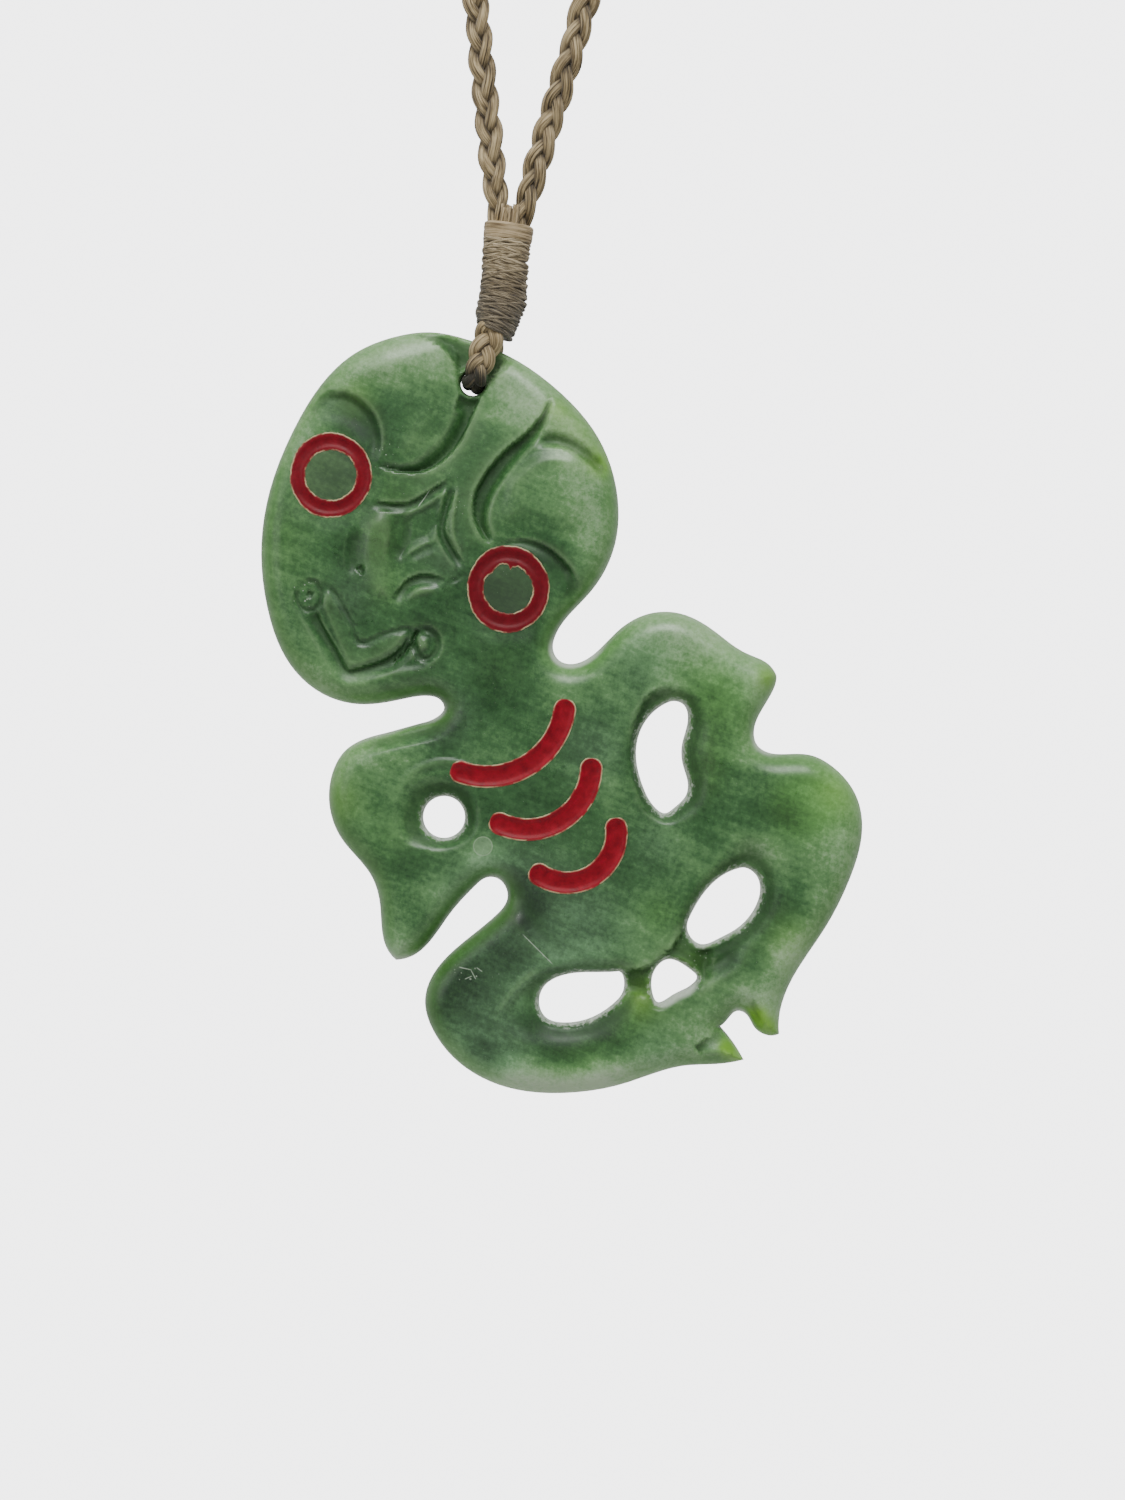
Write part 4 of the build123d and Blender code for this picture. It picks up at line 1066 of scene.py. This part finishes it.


# Sealing wax, shellac and resin with vermilion, poured warm and rubbed flush: deep red, smooth gloss,
# a pale dry line at its edge, and painted shade towards the middle of each stroke
def makeWax():
    material, tree = newMaterial("Poured red sealing wax")
    place = addNode(tree, "ShaderNodeTexCoord").outputs["Object"]
    inset = addNode(tree, "ShaderNodeAttribute", {"attribute_name": "inset"}).outputs["Fac"]
    pigment = addNode(tree, "ShaderNodeTexNoise", inputs={
        "Vector": place, "Scale": 900.0, "Detail": 4.0, "Roughness": 0.65}).outputs["Fac"]
    red = addNode(tree, "ShaderNodeValToRGB", inputs={"Fac": pigment}, stops=[
        (0.3, "#7A0318"), (0.5, "#94041D"), (0.72, "#AA0624")]).outputs["Color"]
    # painted shade towards the middle of each stroke; each piece is also darker by its own amount
    middle = addNode(tree, "ShaderNodeMapRange", {"interpolation_type": "SMOOTHSTEP"}, {
        "Value": inset, "From Min": 0.5, "From Max": 1.3, "To Max": 0.12}).outputs[0]
    darkened = addNode(tree, "ShaderNodeAttribute", {"attribute_name": "darkened"}).outputs["Fac"]
    deep = addNode(tree, "ShaderNodeMath", {"operation": "ADD"}, {0: middle, 1: darkened}).outputs[0]
    red = addNode(tree, "ShaderNodeMix", {"data_type": "RGBA"}, {0: deep, 6: red, 7: toLinear("#52060F")}).outputs[2]
    # the dry line is broken
    broken = addNode(tree, "ShaderNodeTexNoise", inputs={"Vector": place, "Scale": 620.0, "Detail": 3.0}).outputs["Fac"]
    line = addNode(tree, "ShaderNodeMapRange", inputs={
        "Value": inset, "From Min": 0.10, "From Max": 0.26, "To Min": 1.0, "To Max": 0.0}).outputs[0]
    gate = addNode(tree, "ShaderNodeMapRange", inputs={
        "Value": broken, "From Min": 0.42, "From Max": 0.56, "To Min": 0.1, "To Max": 1.0}).outputs[0]
    line = addNode(tree, "ShaderNodeMath", {"operation": "MULTIPLY"}, {0: line, 1: gate}).outputs[0]
    colour = addNode(tree, "ShaderNodeMix", {"data_type": "RGBA"}, {0: line, 6: red, 7: toLinear("#CDB88E")}).outputs[2]
    roughness = addNode(tree, "ShaderNodeMapRange", inputs={
        "Value": pigment, "From Min": 0.3, "From Max": 0.7, "To Min": 0.36, "To Max": 0.52}).outputs[0]
    bump = addNode(tree, "ShaderNodeBump", inputs={
        "Strength": 0.18, "Distance": 0.0002, "Height": pigment}).outputs["Normal"]
    shader = addNode(tree, "ShaderNodeBsdfPrincipled", inputs={
        "Base Color": colour, "Roughness": roughness, "IOR": 1.46, "Specular IOR Level": 0.3, "Normal": bump,
        "Subsurface Weight": 0.12, "Subsurface Radius": (1.0, 0.2, 0.1), "Subsurface Scale": 0.0008})
    finishMaterial(tree, shader)
    return material


waxMaterial = makeWax()
for side in wax["eyes"]:
    eyeRing(side).data.materials.append(waxMaterial)
for number, rib in enumerate(wax["ribs"], start=1):
    chestRib(number, rib).data.materials.append(waxMaterial)
print("wax poured")


# points along the smooth line of a route, read from its NURBS spline; points in mm
def routePoints(name, points, step):
    curve = bpy.data.curves.new(name + "Route", "CURVE")
    curve.dimensions = "3D"
    curve.resolution_u = 24
    spline = curve.splines.new("NURBS")
    spline.points.add(len(points) - 1)
    for target, point in zip(spline.points, points):
        target.co = (*(c * mm for c in point), 1)
    spline.order_u = 3
    spline.use_endpoint_u = True
    holder = bpy.data.objects.new(name + "Route", curve)
    line = bpy.data.meshes.new_from_object(holder)
    found = np.array([v.co for v in line.vertices]) / mm
    bpy.data.meshes.remove(line)
    bpy.data.objects.remove(holder)
    bpy.data.curves.remove(curve)
    return evenLine(found, step)


# across and outward directions at each point of a line
def lineFrames(line, outward):
    along = unit(np.gradient(line, axis=0))
    across = unit(np.cross(along, outward))
    return across, np.cross(across, along)


# the sides of a tube, ring after ring, and its two ends
def tubeFaces(rings, sides):
    faces = []
    for i in range(rings - 1):
        for j in range(sides):
            k = (j + 1) % sides
            faces.append((i * sides + j, i * sides + k, (i + 1) * sides + k, (i + 1) * sides + j))
    ring = np.arange(sides)
    return faces + [tuple(ring[::-1]), tuple(ring + (rings - 1) * sides)]


# a tube round a line: its points, faces and uvs, and how far each point is turned under, which sets painted shade on
# that side
def strandTube(line, outward, radiusAcross, radiusOut, sides, uvWide, uvStart):
    across, out = lineFrames(line, outward)
    turn = np.linspace(0, 2 * math.pi, sides, endpoint=False)
    count = len(line)
    radiusAcross, radiusOut = np.broadcast_to(radiusAcross, count), np.broadcast_to(radiusOut, count)
    points = (line[:, None] + across[:, None] * (radiusAcross[:, None] * np.cos(turn))[..., None]
              + out[:, None] * (radiusOut[:, None] * np.sin(turn))[..., None])
    fold = 1 - np.abs(turn / math.pi - 1)      # up one side and down the other, so the stripes meet
    uvs = np.stack([np.tile(fold * uvWide, count), np.repeat(lengthsAlong(line) + uvStart, sides)], axis=1)
    # painted shade on the side of the tube turned under
    under = np.tile(smoothStep(-np.sin(turn), -0.7, 0.4), count)
    return points.reshape(-1, 3), tubeFaces(count, sides), uvs, under


# several tubes as one
def joinParts(parts):
    points, faces, uvs, shade, start = [], [], [], [], 0
    for partPoints, partFaces, partUvs, partShade in parts:
        points.append(partPoints)
        uvs.append(partUvs)
        shade.append(partShade)
        faces += [tuple(i + start for i in face) for face in partFaces]
        start += len(partPoints)
    return np.vstack(points), faces, np.vstack(uvs), np.concatenate(shade)


# how uneven a hand-laid plait is: wave lengths in mm over one turn's radians, and sizes
uneven = {
    "beat": ((9.0, 0.25), (23.0, 0.5), (4.1, 0.12)), "beatShare": 0.4,
    "swing": (3.1, 0.08), "fat": (2.3, 0.07), "slowFat": (5.7, 0.05),
    "dark": (0.42, 0.80),      # and where strands lie in each other's painted shade, in shares of the plait's half width
}


# a flat plait of three strands along a line, drawn in where full is below one
def plait(line, outward, settings, full):
    across, out = lineFrames(line, outward)
    lengths = lengthsAlong(line)
    dice = random.Random(settings["seed"])
    wobble = sum(size * np.sin(lengths / wave + dice.uniform(0, 6.28)) for wave, size in uneven["beat"])
    wobble = wobble * uneven["beatShare"]
    (swingWave, swingSize), (fatWave, fatSize), (slowWave, slowSize) = uneven["swing"], uneven["fat"], uneven["slowFat"]
    wide, thick = settings["strandWide"] / 2, settings["strandThick"] / 2
    parts = []
    for strand in range(3):
        phase = 2 * math.pi * lengths / settings["period"] + 2 * math.pi * strand / 3 + wobble
        swing = full * (1 + swingSize * np.sin(lengths / swingWave + strand * 2))
        middle = (line + across * (settings["spread"] * swing * np.sin(phase))[:, None]
                  + out * (settings["weave"] * np.sin(2 * phase))[:, None])
        swell = fatSize * np.sin(lengths / fatWave + strand * 4 + dice.uniform(0, 6))
        fat = full * (1 + swell + slowSize * np.sin(lengths / slowWave + strand))
        tube, faces, uvs, _ = strandTube(middle, out, wide * fat, thick * fat, settings["sides"], 1.0, strand * 37.0)
        # painted shade where a point lies deep between the strands
        offset = tube.reshape(len(line), settings["sides"], 3) - line[:, None]
        size = np.stack([(offset * across[:, None]).sum(2) / (settings["spread"] + wide),
                         (offset * out[:, None]).sum(2) / (settings["weave"] + thick)])
        depth = np.hypot(*size) / np.reshape(full, (-1, 1))
        parts.append((tube, faces, uvs, 1 - smoothStep(depth, *uneven["dark"]).ravel()))
    return joinParts(parts)


neckCord = {
    "route": [
        (-15.9, -112.0, -213.3), (-19.2, -112.0, -178.0), (-26.0, -111.5, -135.0), (-36.5, -109.0, -90.0),
        (-46.5, -90.0, -54.0), (-53.0, -58.0, -28.0), (-47.5, -22.0, -10.0), (-20.0, 0.0, 0.0),
        (20.0, 0.0, 0.0), (47.5, -22.0, -10.0), (53.0, -58.0, -28.0), (47.0, -90.0, -55.0),
        (31.0, -109.0, -91.0), (11.0, -111.5, -134.0), (-3.2, -112.0, -178.0), (-13.6, -112.0, -213.7)],
    "neckMiddle": (0.0, -58.0),
    "step": 0.5, "period": 11.6, "spread": 0.94, "weave": 0.44, "strandWide": 1.55, "strandThick": 1.18,
    "sides": 9, "seed": 5,
    "drawnIn": 0.74, "drawnOver": 8.0,      # its fullness at the winding, and how far from there it is full
}

hangingLoop = {
    # in the plane of the loop: forward of the stone's middle (behind it below nought), and up the lean
    "route": [
        (2.75, 8.0), (3.05, 5.2), (3.15, 2.8), (3.05, 0.8), (2.2, 0.0), (0.0, -0.12),
        (-2.2, 0.0), (-3.05, 0.8), (-3.15, 2.8), (-3.05, 5.2), (-2.75, 8.0)],
    "lean": 19.0, "right": 0.13, "up": 0.04,      # the whole loop is moved by the last two
    "step": 0.16, "period": 7.2, "spread": 0.86, "weave": 0.42, "strandWide": 1.46, "strandThick": 1.24,
    "sides": 12, "seed": 11,
    # slimmer where it passes through the hole, and drawn in under the winding; how far up it is soiled
    "inHole": 0.92, "more": 0.24, "moreOver": (0.2, 4.6), "drawnIn": 0.5, "drawnOver": (6.3, 8.0),
    "grimeOver": (0.2, 2.9),
}

neckLine = routePoints("neckCord", neckCord["route"], neckCord["step"])
print("neck cord length", round(float(lengthsAlong(neckLine)[-1]), 1))
neckOut = neckLine - [*neckCord["neckMiddle"], 0]
neckOut[:, 2] = 0
neckLengths = np.arange(len(neckLine)) * neckCord["step"]
neckEnds = smoothStep(np.minimum(neckLengths, neckLengths[::-1]), 0, neckCord["drawnOver"])
neckFull = neckCord["drawnIn"] + (1 - neckCord["drawnIn"]) * neckEnds
neckPoints, neckFaces, neckUvs, neckShade = plait(neckLine, unit(neckOut), neckCord, neckFull)
neckPlait = makeMesh("neckPlait", neckPoints, neckFaces, {"deep": neckShade}, uvs=neckUvs)
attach(neckPlait, "cord")
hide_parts("neck_cord")

lean = math.radians(hangingLoop["lean"])
loopUp = np.array([math.sin(lean), 0, math.cos(lean)])
loopSide = np.array([math.cos(lean), 0, -math.sin(lean)])
loopRoute = []
for forward, up in hangingLoop["route"]:
    loopRoute.append(tuple(hole + np.array([hangingLoop["right"], -forward, hangingLoop["up"]]) + loopUp * up))
loopLine = routePoints("hangingLoop", loopRoute, hangingLoop["step"])
loopOut = unit(np.cross(np.gradient(loopLine, axis=0), loopSide))
loopHigh = (loopLine - hole) @ loopUp
loopFull = hangingLoop["inHole"] + hangingLoop["more"] * smoothStep(loopHigh, *hangingLoop["moreOver"])
loopFull = loopFull * (1 - hangingLoop["drawnIn"] * smoothStep(loopHigh, *hangingLoop["drawnOver"]))
loopPoints, loopFaces, loopUvs, loopShade = plait(loopLine, loopOut, hangingLoop, loopFull)
loopGrime = 1 - smoothStep((loopPoints - hole) @ loopUp, *hangingLoop["grimeOver"])
loopPlait = makeMesh("loopPlait", loopPoints, loopFaces, {"deep": loopShade, "grime": loopGrime}, uvs=loopUvs)
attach(loopPlait, "cord")
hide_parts("hanging_loop")
print("plaits laid")


whipping = {
    "foot": (2.4, 6.1), "tilt": 8.0, "length": 13.25, "skew": 0.65,
    # share of the height: how far it reaches left, right, and to front and back
    "sections": [
        (0.00, 1.95, 2.35, 4.50), (0.06, 2.25, 2.70, 4.55), (0.13, 2.50, 3.00, 4.45), (0.20, 2.46, 3.25, 4.20),
        (0.27, 2.38, 3.50, 3.90), (0.33, 2.34, 3.66, 3.60), (0.42, 2.36, 3.46, 3.40), (0.53, 2.46, 3.30, 3.20),
        (0.64, 2.58, 3.18, 3.00), (0.75, 2.70, 3.14, 2.90), (0.86, 2.80, 3.14, 2.82), (1.00, 2.92, 3.16, 2.75)],
    "bandHeight": 2.0,
    # fine thread laid in six uneven passes over one another: pitch, slope sideways, depth below the surface, seed
    "thread": 0.36, "threadSteps": 40, "threadSides": 7,
    "passes": [
        (0.50, 0.25, 0.22, 1), (0.56, -0.4, 0.14, 2), (0.62, 0.6, 0.08, 3),
        (0.74, -0.8, 0.03, 4), (1.1, 1.1, 0.0, 5), (1.9, -1.3, -0.03, 6)],
    # the first turn lies flat along the rim, up to this turning, and then slope and unevenness come in
    "flatTurn": 7.5, "slopeIn": (6, 12), "unevenIn": (5, 12),
    "heightWaves": ((0.37, 0.10), (1.13, 0.08), (2.71, 0.05), (5.3, 0.03)),
    "insetWaves": ((0.21, 0.03), (0.83, 0.02), (3.7, 0.01)),
    "fatWave": (0.61, 0.09), "fineFatWave": (3.3, 0.05), "flattened": 0.9,
    "soiled": 0.68, "soiledOver": (1.5, 11.0),      # how dark its foot is, and how far up that goes
    # height and inset of the band's sections, from its foot and from its top, and of the core's under the thread
    "bandFoot": [(-0.2, 0.40), (-0.05, 0.12), (0.2, 0.02)],
    "bandTop": [
        (-1.18, 0.02), (-1.08, 0.07), (-0.98, 0.02), (-0.66, 0.0), (-0.56, 0.06), (-0.46, 0.02), (-0.2, 0.08),
        (-0.05, 0.3), (0.0, 0.8)],
    "core": [(0.05, 1.1), (0.2, 0.6), (1.0, 0.5), (3.5, 0.5), (7.0, 0.5), (10.0, 0.5)], "coreInset": 0.5,
    "coreSides": 40, "bandSides": 72,
    # the two cut ends: how far right and how wide each is; then their foot below the top, height, place and strands
    "ends": [(-0.35, 0.50), (0.75, 0.26)], "endSeed": 31,
    "endFoot": 1.2, "endHeight": 3.3, "endForward": 1.80, "endStrands": 8, "endStrand": 0.21,
}
tilt = math.radians(whipping["tilt"])
whipFoot = hole + np.array([whipping["foot"][0], 0, whipping["foot"][1]])
whipUp = np.array([math.sin(tilt), 0, math.cos(tilt)])
whipSide = np.array([math.cos(tilt), 0, -math.sin(tilt)])
whipBack = np.array([0.0, 1.0, 0.0])


# a place in the winding: the turn round it, the height above its foot, and how far below its surface
def whipPlace(turn, height, inset):
    share = np.clip(height / whipping["length"], 0, 1)
    table = np.array(whipping["sections"])
    left, right, deep = (np.interp(share, table[:, 0], table[:, k]) for k in (1, 2, 3))
    across = (np.where(np.cos(turn) > 0, right, left) - inset) * np.cos(turn)
    back = (deep - inset) * np.sin(turn)
    skewed = height - whipping["skew"] * np.cos(turn) * (1 - share) ** 3
    return whipFoot + whipUp * skewed[:, None] + whipSide * across[:, None] + whipBack * back[:, None]


def windThread(pitch, slope, depth, seed):
    dice = random.Random(seed)
    thread, top = whipping["thread"], whipping["length"] - whipping["bandHeight"]
    turns = (top - thread * 1.1) / pitch + 1.2
    turn = np.linspace(0, turns * 2 * math.pi, int(turns * whipping["threadSteps"]))
    height = thread * 0.5 + np.maximum(turn - whipping["flatTurn"], 0) / (2 * math.pi) * pitch
    height = height + smoothStep(turn, *whipping["slopeIn"]) * slope * np.sin(turn + dice.uniform(0, 6.28)) * 0.5
    for speed, size in whipping["heightWaves"]:
        waver = size * np.sin(turn * speed + dice.uniform(0, 6.28))
        height = height + waver * smoothStep(turn, *whipping["unevenIn"])
    height = np.clip(height, thread * 0.5, top)
    inset = thread / 2 + depth
    for speed, size in whipping["insetWaves"]:
        inset = inset + size * np.sin(turn * speed + dice.uniform(0, 6.28))
    line = whipPlace(turn, height, inset)
    outward = whipSide * np.cos(turn)[:, None] + whipBack * np.sin(turn)[:, None]
    (speed, size), (fineSpeed, fineSize) = whipping["fatWave"], whipping["fineFatWave"]
    fat = 1 + size * np.sin(turn * speed + dice.uniform(0, 6.28)) + fineSize * np.sin(turn * fineSpeed)
    radius = thread / 2 * fat
    flatter = radius * whipping["flattened"]
    return strandTube(line, outward, radius, flatter, whipping["threadSides"], 1.0, seed * 53.0)


# a closed body of the winding's sections: (height, inset) from the foot up
def sleeve(levels, sides):
    turn = np.linspace(0, 2 * math.pi, sides, endpoint=False)
    points = np.vstack([whipPlace(turn, np.full(sides, height), inset) for height, inset in levels])
    fold = 3 * (1 - np.abs(turn / math.pi - 1)) * math.pi
    uvs = np.stack([np.repeat([height for height, inset in levels], sides), np.tile(fold, len(levels))], axis=1)
    return points, tubeFaces(len(levels), sides), uvs


# a cut end of thread: a bundle of fibres standing in front of the cord
def cutEnd(offset, wide, seed):
    dice = random.Random(seed)
    strands, radius = whipping["endStrands"], whipping["endStrand"]
    parts = []
    for k in range(strands + 1):      # one in the middle, the others round it
        away = 0.0 if k == 0 else wide
        spin = k * 2 * math.pi / strands
        foot = whipFoot + whipUp * (whipping["length"] - whipping["endFoot"])
        foot = (foot + whipSide * (offset + away * math.cos(spin))
                + whipBack * (-whipping["endForward"] + away * math.sin(spin)))
        height = whipping["endHeight"] + dice.uniform(-0.8, 0.1)
        line = np.array([foot + whipUp * height * t + whipSide * dice.uniform(-0.1, 0.1) * t * t
                         for t in np.linspace(0, 1, 8)])
        outward = np.tile(-whipBack, (len(line), 1))
        parts.append(strandTube(line, outward, radius, radius, whipping["threadSides"], 0.4, k * 11.0))
    return joinParts(parts)


woundPoints, woundFaces, woundUvs, woundShade = joinParts([windThread(*turns) for turns in whipping["passes"]])
soiled = whipping["soiled"] * (1 - smoothStep((woundPoints - whipFoot) @ whipUp, *whipping["soiledOver"]))
threadPiece = makeMesh("whippingThread", woundPoints, woundFaces, {"deep": woundShade, "grime": soiled}, uvs=woundUvs)
whipTop, bandStart = whipping["length"], whipping["length"] - whipping["bandHeight"]
corePoints, coreFaces, coreUvs = sleeve(whipping["core"] + [(bandStart, whipping["coreInset"])], whipping["coreSides"])
corePiece = makeMesh("whippingCore", corePoints, coreFaces, uvs=coreUvs)
bandLevels = [(bandStart + up, inset) for up, inset in whipping["bandFoot"]]
bandLevels += [(whipTop + up, inset) for up, inset in whipping["bandTop"]]
bandPoints, bandFaces, bandUvs = sleeve(bandLevels, whipping["bandSides"])
bandPiece = makeMesh("whippingBand", bandPoints, bandFaces, uvs=bandUvs)
endPieces = []
for number, (offset, wide) in enumerate(whipping["ends"]):
    endPoints, endFaces, endUvs, endShade = cutEnd(offset, wide, whipping["endSeed"] + number)
    endPieces.append(makeMesh("threadEnd" + str(number + 1), endPoints, endFaces, {"deep": 0.9 * endShade}, uvs=endUvs))
for piece in [threadPiece, corePiece, bandPiece] + endPieces:
    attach(piece, "cord")
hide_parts("whipping")
print("whipping wound")


# Rolled flax fibre, plaited by hand: fine lengthwise fibres in khaki and tan, matt with a slight silk,
# darker between the fibres, with painted shade between the strands and on the threads' undersides
def makeFlax(name, light, middle, dark, grimeColour, fibres, twist, fibreBump):
    material, tree = newMaterial(name)
    uv = addNode(tree, "ShaderNodeUVMap", {"uv_map": "fibre"}).outputs["UV"]
    place = addNode(tree, "ShaderNodeTexCoord").outputs["Object"]
    slim = addNode(tree, "ShaderNodeMapping", {"vector_type": "TEXTURE"}, {
        "Vector": uv, "Rotation": (0, 0, math.radians(twist)),
        "Scale": (1 / fibres, 4.5 if twist == 0 else 3.0, 1.0)}).outputs["Vector"]
    fibre = addNode(tree, "ShaderNodeTexNoise", {"noise_dimensions": "2D"}, {
        "Vector": slim, "Scale": 1.0, "Detail": 3.0, "Roughness": 0.6, "Distortion": 0.4}).outputs["Fac"]
    tuft = addNode(tree, "ShaderNodeTexNoise", inputs={"Vector": place, "Scale": 260.0, "Detail": 3.0}).outputs["Fac"]
    mixed = addNode(tree, "ShaderNodeMath", {"operation": "MULTIPLY_ADD"}, {0: tuft, 1: 0.35, 2: fibre}).outputs[0]
    colour = addNode(tree, "ShaderNodeValToRGB", inputs={"Fac": mixed}, stops=[
        (0.50, dark), (0.64, middle), (0.79, light)]).outputs["Color"]
    # painted shade between the strands and on the threads' undersides
    deep = addNode(tree, "ShaderNodeAttribute", {"attribute_name": "deep"}).outputs["Fac"]
    shaded = addNode(tree, "ShaderNodeMath", {"operation": "MULTIPLY"}, {0: deep, 1: 0.8}).outputs[0]
    colour = addNode(tree, "ShaderNodeMix", {"data_type": "RGBA"}, {
        0: shaded, 6: colour, 7: toLinear("#2A2012")}).outputs[2]
    grime = addNode(tree, "ShaderNodeAttribute", {"attribute_name": "grime"}).outputs["Fac"]
    streaky = addNode(tree, "ShaderNodeMapRange", inputs={
        "Value": fibre, "From Min": 0.35, "From Max": 0.6, "To Min": 1.5, "To Max": 0.85}).outputs[0]
    grime = addNode(tree, "ShaderNodeMath", {"operation": "MULTIPLY", "use_clamp": True}, {
        0: grime, 1: streaky}).outputs[0]
    colour = addNode(tree, "ShaderNodeMix", {"data_type": "RGBA"}, {
        0: grime, 6: colour, 7: toLinear(grimeColour)}).outputs[2]
    bump = addNode(tree, "ShaderNodeBump", inputs={
        "Strength": fibreBump, "Distance": 0.00025, "Height": fibre}).outputs["Normal"]
    shader = addNode(tree, "ShaderNodeBsdfPrincipled", inputs={
        "Base Color": colour, "Roughness": 0.62, "IOR": 1.53, "Normal": bump,
        "Sheen Weight": 0.15, "Sheen Roughness": 0.4})
    finishMaterial(tree, shader)
    return material


plaitMaterial = makeFlax("Hand-plaited flax fibre", "#C9B488", "#8F7B56", "#43371F", "#2B281B", 9.0, 0, 1.0)
threadMaterial = makeFlax("Wound flax thread", "#D6C4A0", "#96835F", "#54462F", "#453E33", 5.0, 14, 0.8)
coreMaterial = makeFlax("Flax under the winding", "#6B5A40", "#4E4230", "#2C251A", "#2B281B", 7.0, 0, 0.5)
bandMaterial = makeFlax("Laid flax band", "#C4AF8A", "#9E8962", "#6B5839", "#4A4230", 7.0, 0, 0.6)
for material, pieces in ((plaitMaterial, [neckPlait, loopPlait]), (threadMaterial, [threadPiece]),
                         (coreMaterial, [corePiece]), (bandMaterial, [bandPiece] + endPieces)):
    for piece in pieces:
        piece.data.materials.append(material)
print("flax dressed")


studio = {
    "camera": (-8.26, -612.0, -275.92), "lens": 100.0, "sensor": 36.0, "aim": (-10, -112, -275),
    "key": {"place": (60, -900, 820), "size": 800, "power": 17.0},
    "fill": {"place": (-700, -600, 0), "size": 700, "power": 1.6},
    "worldColour": "#F0F0F1", "frontStrength": 0.40, "backStrength": 0.9, "backdropStrength": 5.0,
    "floorLevel": -1000.0, "floorSize": 2200.0, "floorForward": 60.0, "floorColour": "#E4E4E2",
}

cameraData = bpy.data.cameras.new("camera")
cameraData.lens = studio["lens"]
cameraData.sensor_fit = "VERTICAL"
cameraData.sensor_height = studio["sensor"]
cameraData.clip_start = 0.01
camera = bpy.data.objects.new("camera", cameraData)
camera.location = [c * mm for c in studio["camera"]]
camera.rotation_euler = (math.radians(90), 0, 0)
bpy.context.scene.collection.objects.link(camera)
bpy.context.scene.camera = camera


# a round soft box turned to the stone
def softLight(name, settings):
    data = bpy.data.lights.new(name, "AREA")
    data.shape = "DISK"
    data.size = settings["size"] * mm
    data.energy = settings["power"]
    light = bpy.data.objects.new(name, data)
    light.location = [c * mm for c in settings["place"]]
    aim = Vector([c * mm for c in studio["aim"]]) - light.location
    light.rotation_euler = aim.to_track_quat("-Z", "Y").to_euler()
    bpy.context.scene.collection.objects.link(light)


softLight("keyLight", studio["key"])
softLight("fillLight", studio["fill"])

world = bpy.data.worlds.new("paleStudio")
world.use_nodes = True
room = world.node_tree
room.nodes.clear()
# the paper behind the stone is bright and the room in front is dimmer, so edges are lit from behind
direction = addNode(room, "ShaderNodeTexCoord").outputs["Generated"]
depth = addNode(room, "ShaderNodeSeparateXYZ", inputs={0: direction}).outputs["Y"]
glow = addNode(room, "ShaderNodeMapRange", {"interpolation_type": "SMOOTHSTEP"}, {
    "Value": depth, "From Min": -0.2, "From Max": 0.6, "To Min": studio["frontStrength"],
    "To Max": studio["backStrength"]}).outputs[0]
ambient = addNode(room, "ShaderNodeBackground", inputs={
    "Color": toLinear(studio["worldColour"]), "Strength": glow})
backdrop = addNode(room, "ShaderNodeBackground", inputs={
    "Color": toLinear(studio["worldColour"]), "Strength": studio["backdropStrength"]})
seen = addNode(room, "ShaderNodeLightPath").outputs["Is Camera Ray"]
both = addNode(room, "ShaderNodeMixShader", inputs={0: seen, 1: ambient.outputs[0], 2: backdrop.outputs[0]})
addNode(room, "ShaderNodeOutputWorld", inputs={"Surface": both.outputs[0]})
bpy.context.scene.world = world

half, forward, level = studio["floorSize"] / 2, studio["floorForward"], studio["floorLevel"]
floor = makeMesh("floor", [
    (x, y - forward, level) for x, y in ((-half, -half), (half, -half), (half, half), (-half, half))], [(0, 1, 2, 3)])
floorMaterial, floorTree = newMaterial("Pale studio floor")
finishMaterial(floorTree, addNode(floorTree, "ShaderNodeBsdfPrincipled", inputs={
    "Base Color": toLinear(studio["floorColour"]), "Roughness": 0.8}))
floor.data.materials.append(floorMaterial)
print("studio set")
